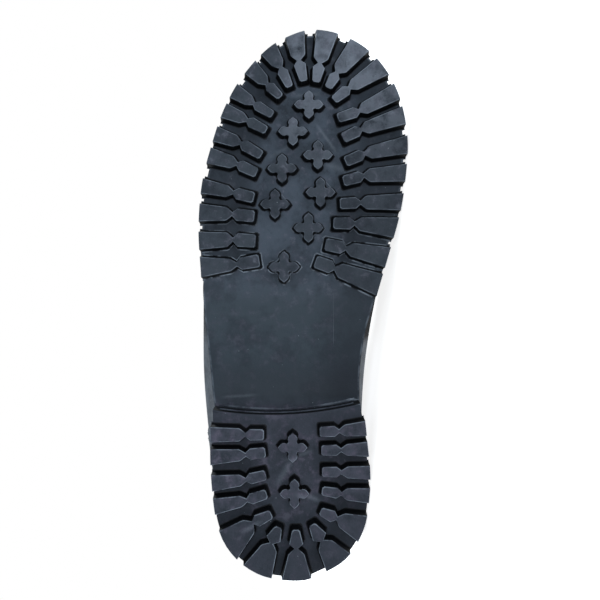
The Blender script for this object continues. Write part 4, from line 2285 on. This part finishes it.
# --- studio
@dataclass
class Studio:
    """Pale floor, soft lights and the camera."""

    stance: Stance
    eye: tuple = (167.1, -0.55)
    distance: float = 400.0
    width_seen: float = 333.0
    sensor: float = 36.0
    shift: tuple = (1 / 60, -1 / 30)
    aim: tuple = (0.0, 0.0, 0.05)
    floor_half: float = 6.0
    surround: float = 0.3
    floor_glow: float = 0.82
    tint: tuple = (0.88, 0.95, 1.0)

    def build(self) -> None:
        """Makes the stage, the lights and the camera."""
        bpy.context.scene.view_settings.view_transform = "Standard"
        self.make_floor()
        self.make_world()
        self.make_lights()
        self.make_camera()

    def make_floor(self) -> None:
        """A pale floor."""
        size = self.floor_half
        mesh = bpy.data.meshes.new("floor")
        corners = [(-size, -size, 0), (size, -size, 0), (size, size, 0), (-size, size, 0)]
        mesh.from_pydata(corners, [], [(0, 1, 2, 3)])
        floor = add_object("floor", mesh)
        g = Graph("floor")
        grey, white = (0.86, 0.86, 0.86), (1.0, 1.0, 1.0)
        g.finish(Base_Color=grey, Roughness=0.9, Emission_Color=white, Emission_Strength=self.floor_glow)
        mesh.materials.append(g.material)

    def make_world(self) -> None:
        """A surround that is white to look at and dim as a light."""
        world = bpy.data.worlds.new("surround")
        world.use_nodes = True
        tree = world.node_tree
        back, path = tree.nodes["Background"], tree.nodes.new("ShaderNodeLightPath")
        strength = tree.nodes.new("ShaderNodeMapRange")
        strength.inputs["To Min"].default_value = self.surround
        colour = tree.nodes.new("ShaderNodeMix")
        colour.data_type = "RGBA"
        colour.inputs[6].default_value = (*self.tint, 1.0)
        colour.inputs[7].default_value = (1.0, 1.0, 1.0, 1.0)
        tree.links.new(path.outputs["Is Camera Ray"], colour.inputs[0])
        tree.links.new(colour.outputs[2], back.inputs["Color"])
        tree.links.new(path.outputs["Is Camera Ray"], strength.inputs["Value"])
        tree.links.new(strength.outputs["Result"], back.inputs["Strength"])
        bpy.context.scene.world = world

    def add_light(self, name: str, place: tuple, size: float, power: float) -> None:
        """A square softbox.

        Args:
            name: the light's name.
            place: a row-frame point, from which it looks at the boot.
            size: side of the square, in metres.
            power: watts.
        """
        data = bpy.data.lights.new(name, "AREA")
        data.size, data.energy, data.color = size, power, self.tint
        light = add_object(name, data)
        light.location = place
        light.rotation_mode = "QUATERNION"
        light.rotation_quaternion = (Vector(self.aim) - Vector(place)).to_track_quat("-Z", "Y")

    def make_lights(self) -> None:
        """A broad front light on the sole, one from above and a fill from behind."""
        self.add_light("front", (0.15, -1.6, 0.35), 0.55, 11.5)
        self.add_light("above", (-1.25, 0.45, 0.85), 0.45, 24.0)
        self.add_light("behind", (0.9, 1.2, 0.8), 0.5, 18.0)

    def make_camera(self) -> None:
        """Looks straight at the tread, toe up, outer side to the left."""
        data = bpy.data.cameras.new("camera")
        data.sensor_width = self.sensor
        data.lens = self.sensor * self.distance / self.width_seen
        data.shift_x, data.shift_y = self.shift
        data.clip_start = 0.01
        camera = add_object("camera", data)
        right, up, back = (self.stance.direction(v) for v in ((0, 1, 0), (1, 0, 0), (0, 0, -1)))
        turn = Matrix((right, up, back)).transposed().to_4x4()
        place = Vector(self.stance((*self.eye, -self.distance)))
        camera.matrix_world = Matrix.Translation(place) @ turn
        bpy.context.scene.camera = camera


def main() -> None:
    """Builds the boot's pieces on the frame."""
    logging.basicConfig(level=logging.INFO, format="%(name)s %(message)s")
    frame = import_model()
    stance = Stance(frame["record"])
    shop = Workshop(stance)
    Studio(stance).build()
    sole = Sole(shop, Rubber().build())
    sole.build()
    leather = Leather("upper_leather").build()
    lining = Textile("lining_textile", linear(38, 39, 43), linear(84, 86, 92), 1.1).build()
    eyelets = Eyelets(shop, Enamel().build())
    holes = eyelets.holes()
    upper = Upper(shop, leather, lining)
    upper.build(holes)
    bpy.data.objects.remove(holes)
    Collar(shop, lining).build()
    Tongue(shop, leather, lining).build()
    Insole(shop, lining).build()
    eyelets.build()
    Lace(shop, LaceWeave().build()).build()
    row = StitchRow()
    thread = Thread("upper_thread", linear(84, 87, 94)).build()
    row.sew(shop, "upper_stitches", upper.seams, thread, "leather", 2.6, 2.1, 0.75)
    welt_thread = Thread("welt_thread", linear(70, 70, 72)).build()
    row.sew(shop, "welt_stitches", [sole.welt_seam()], welt_thread, "rubber", 4.2, 3.4, 1.2)


if __name__ == "__main__":
    main()
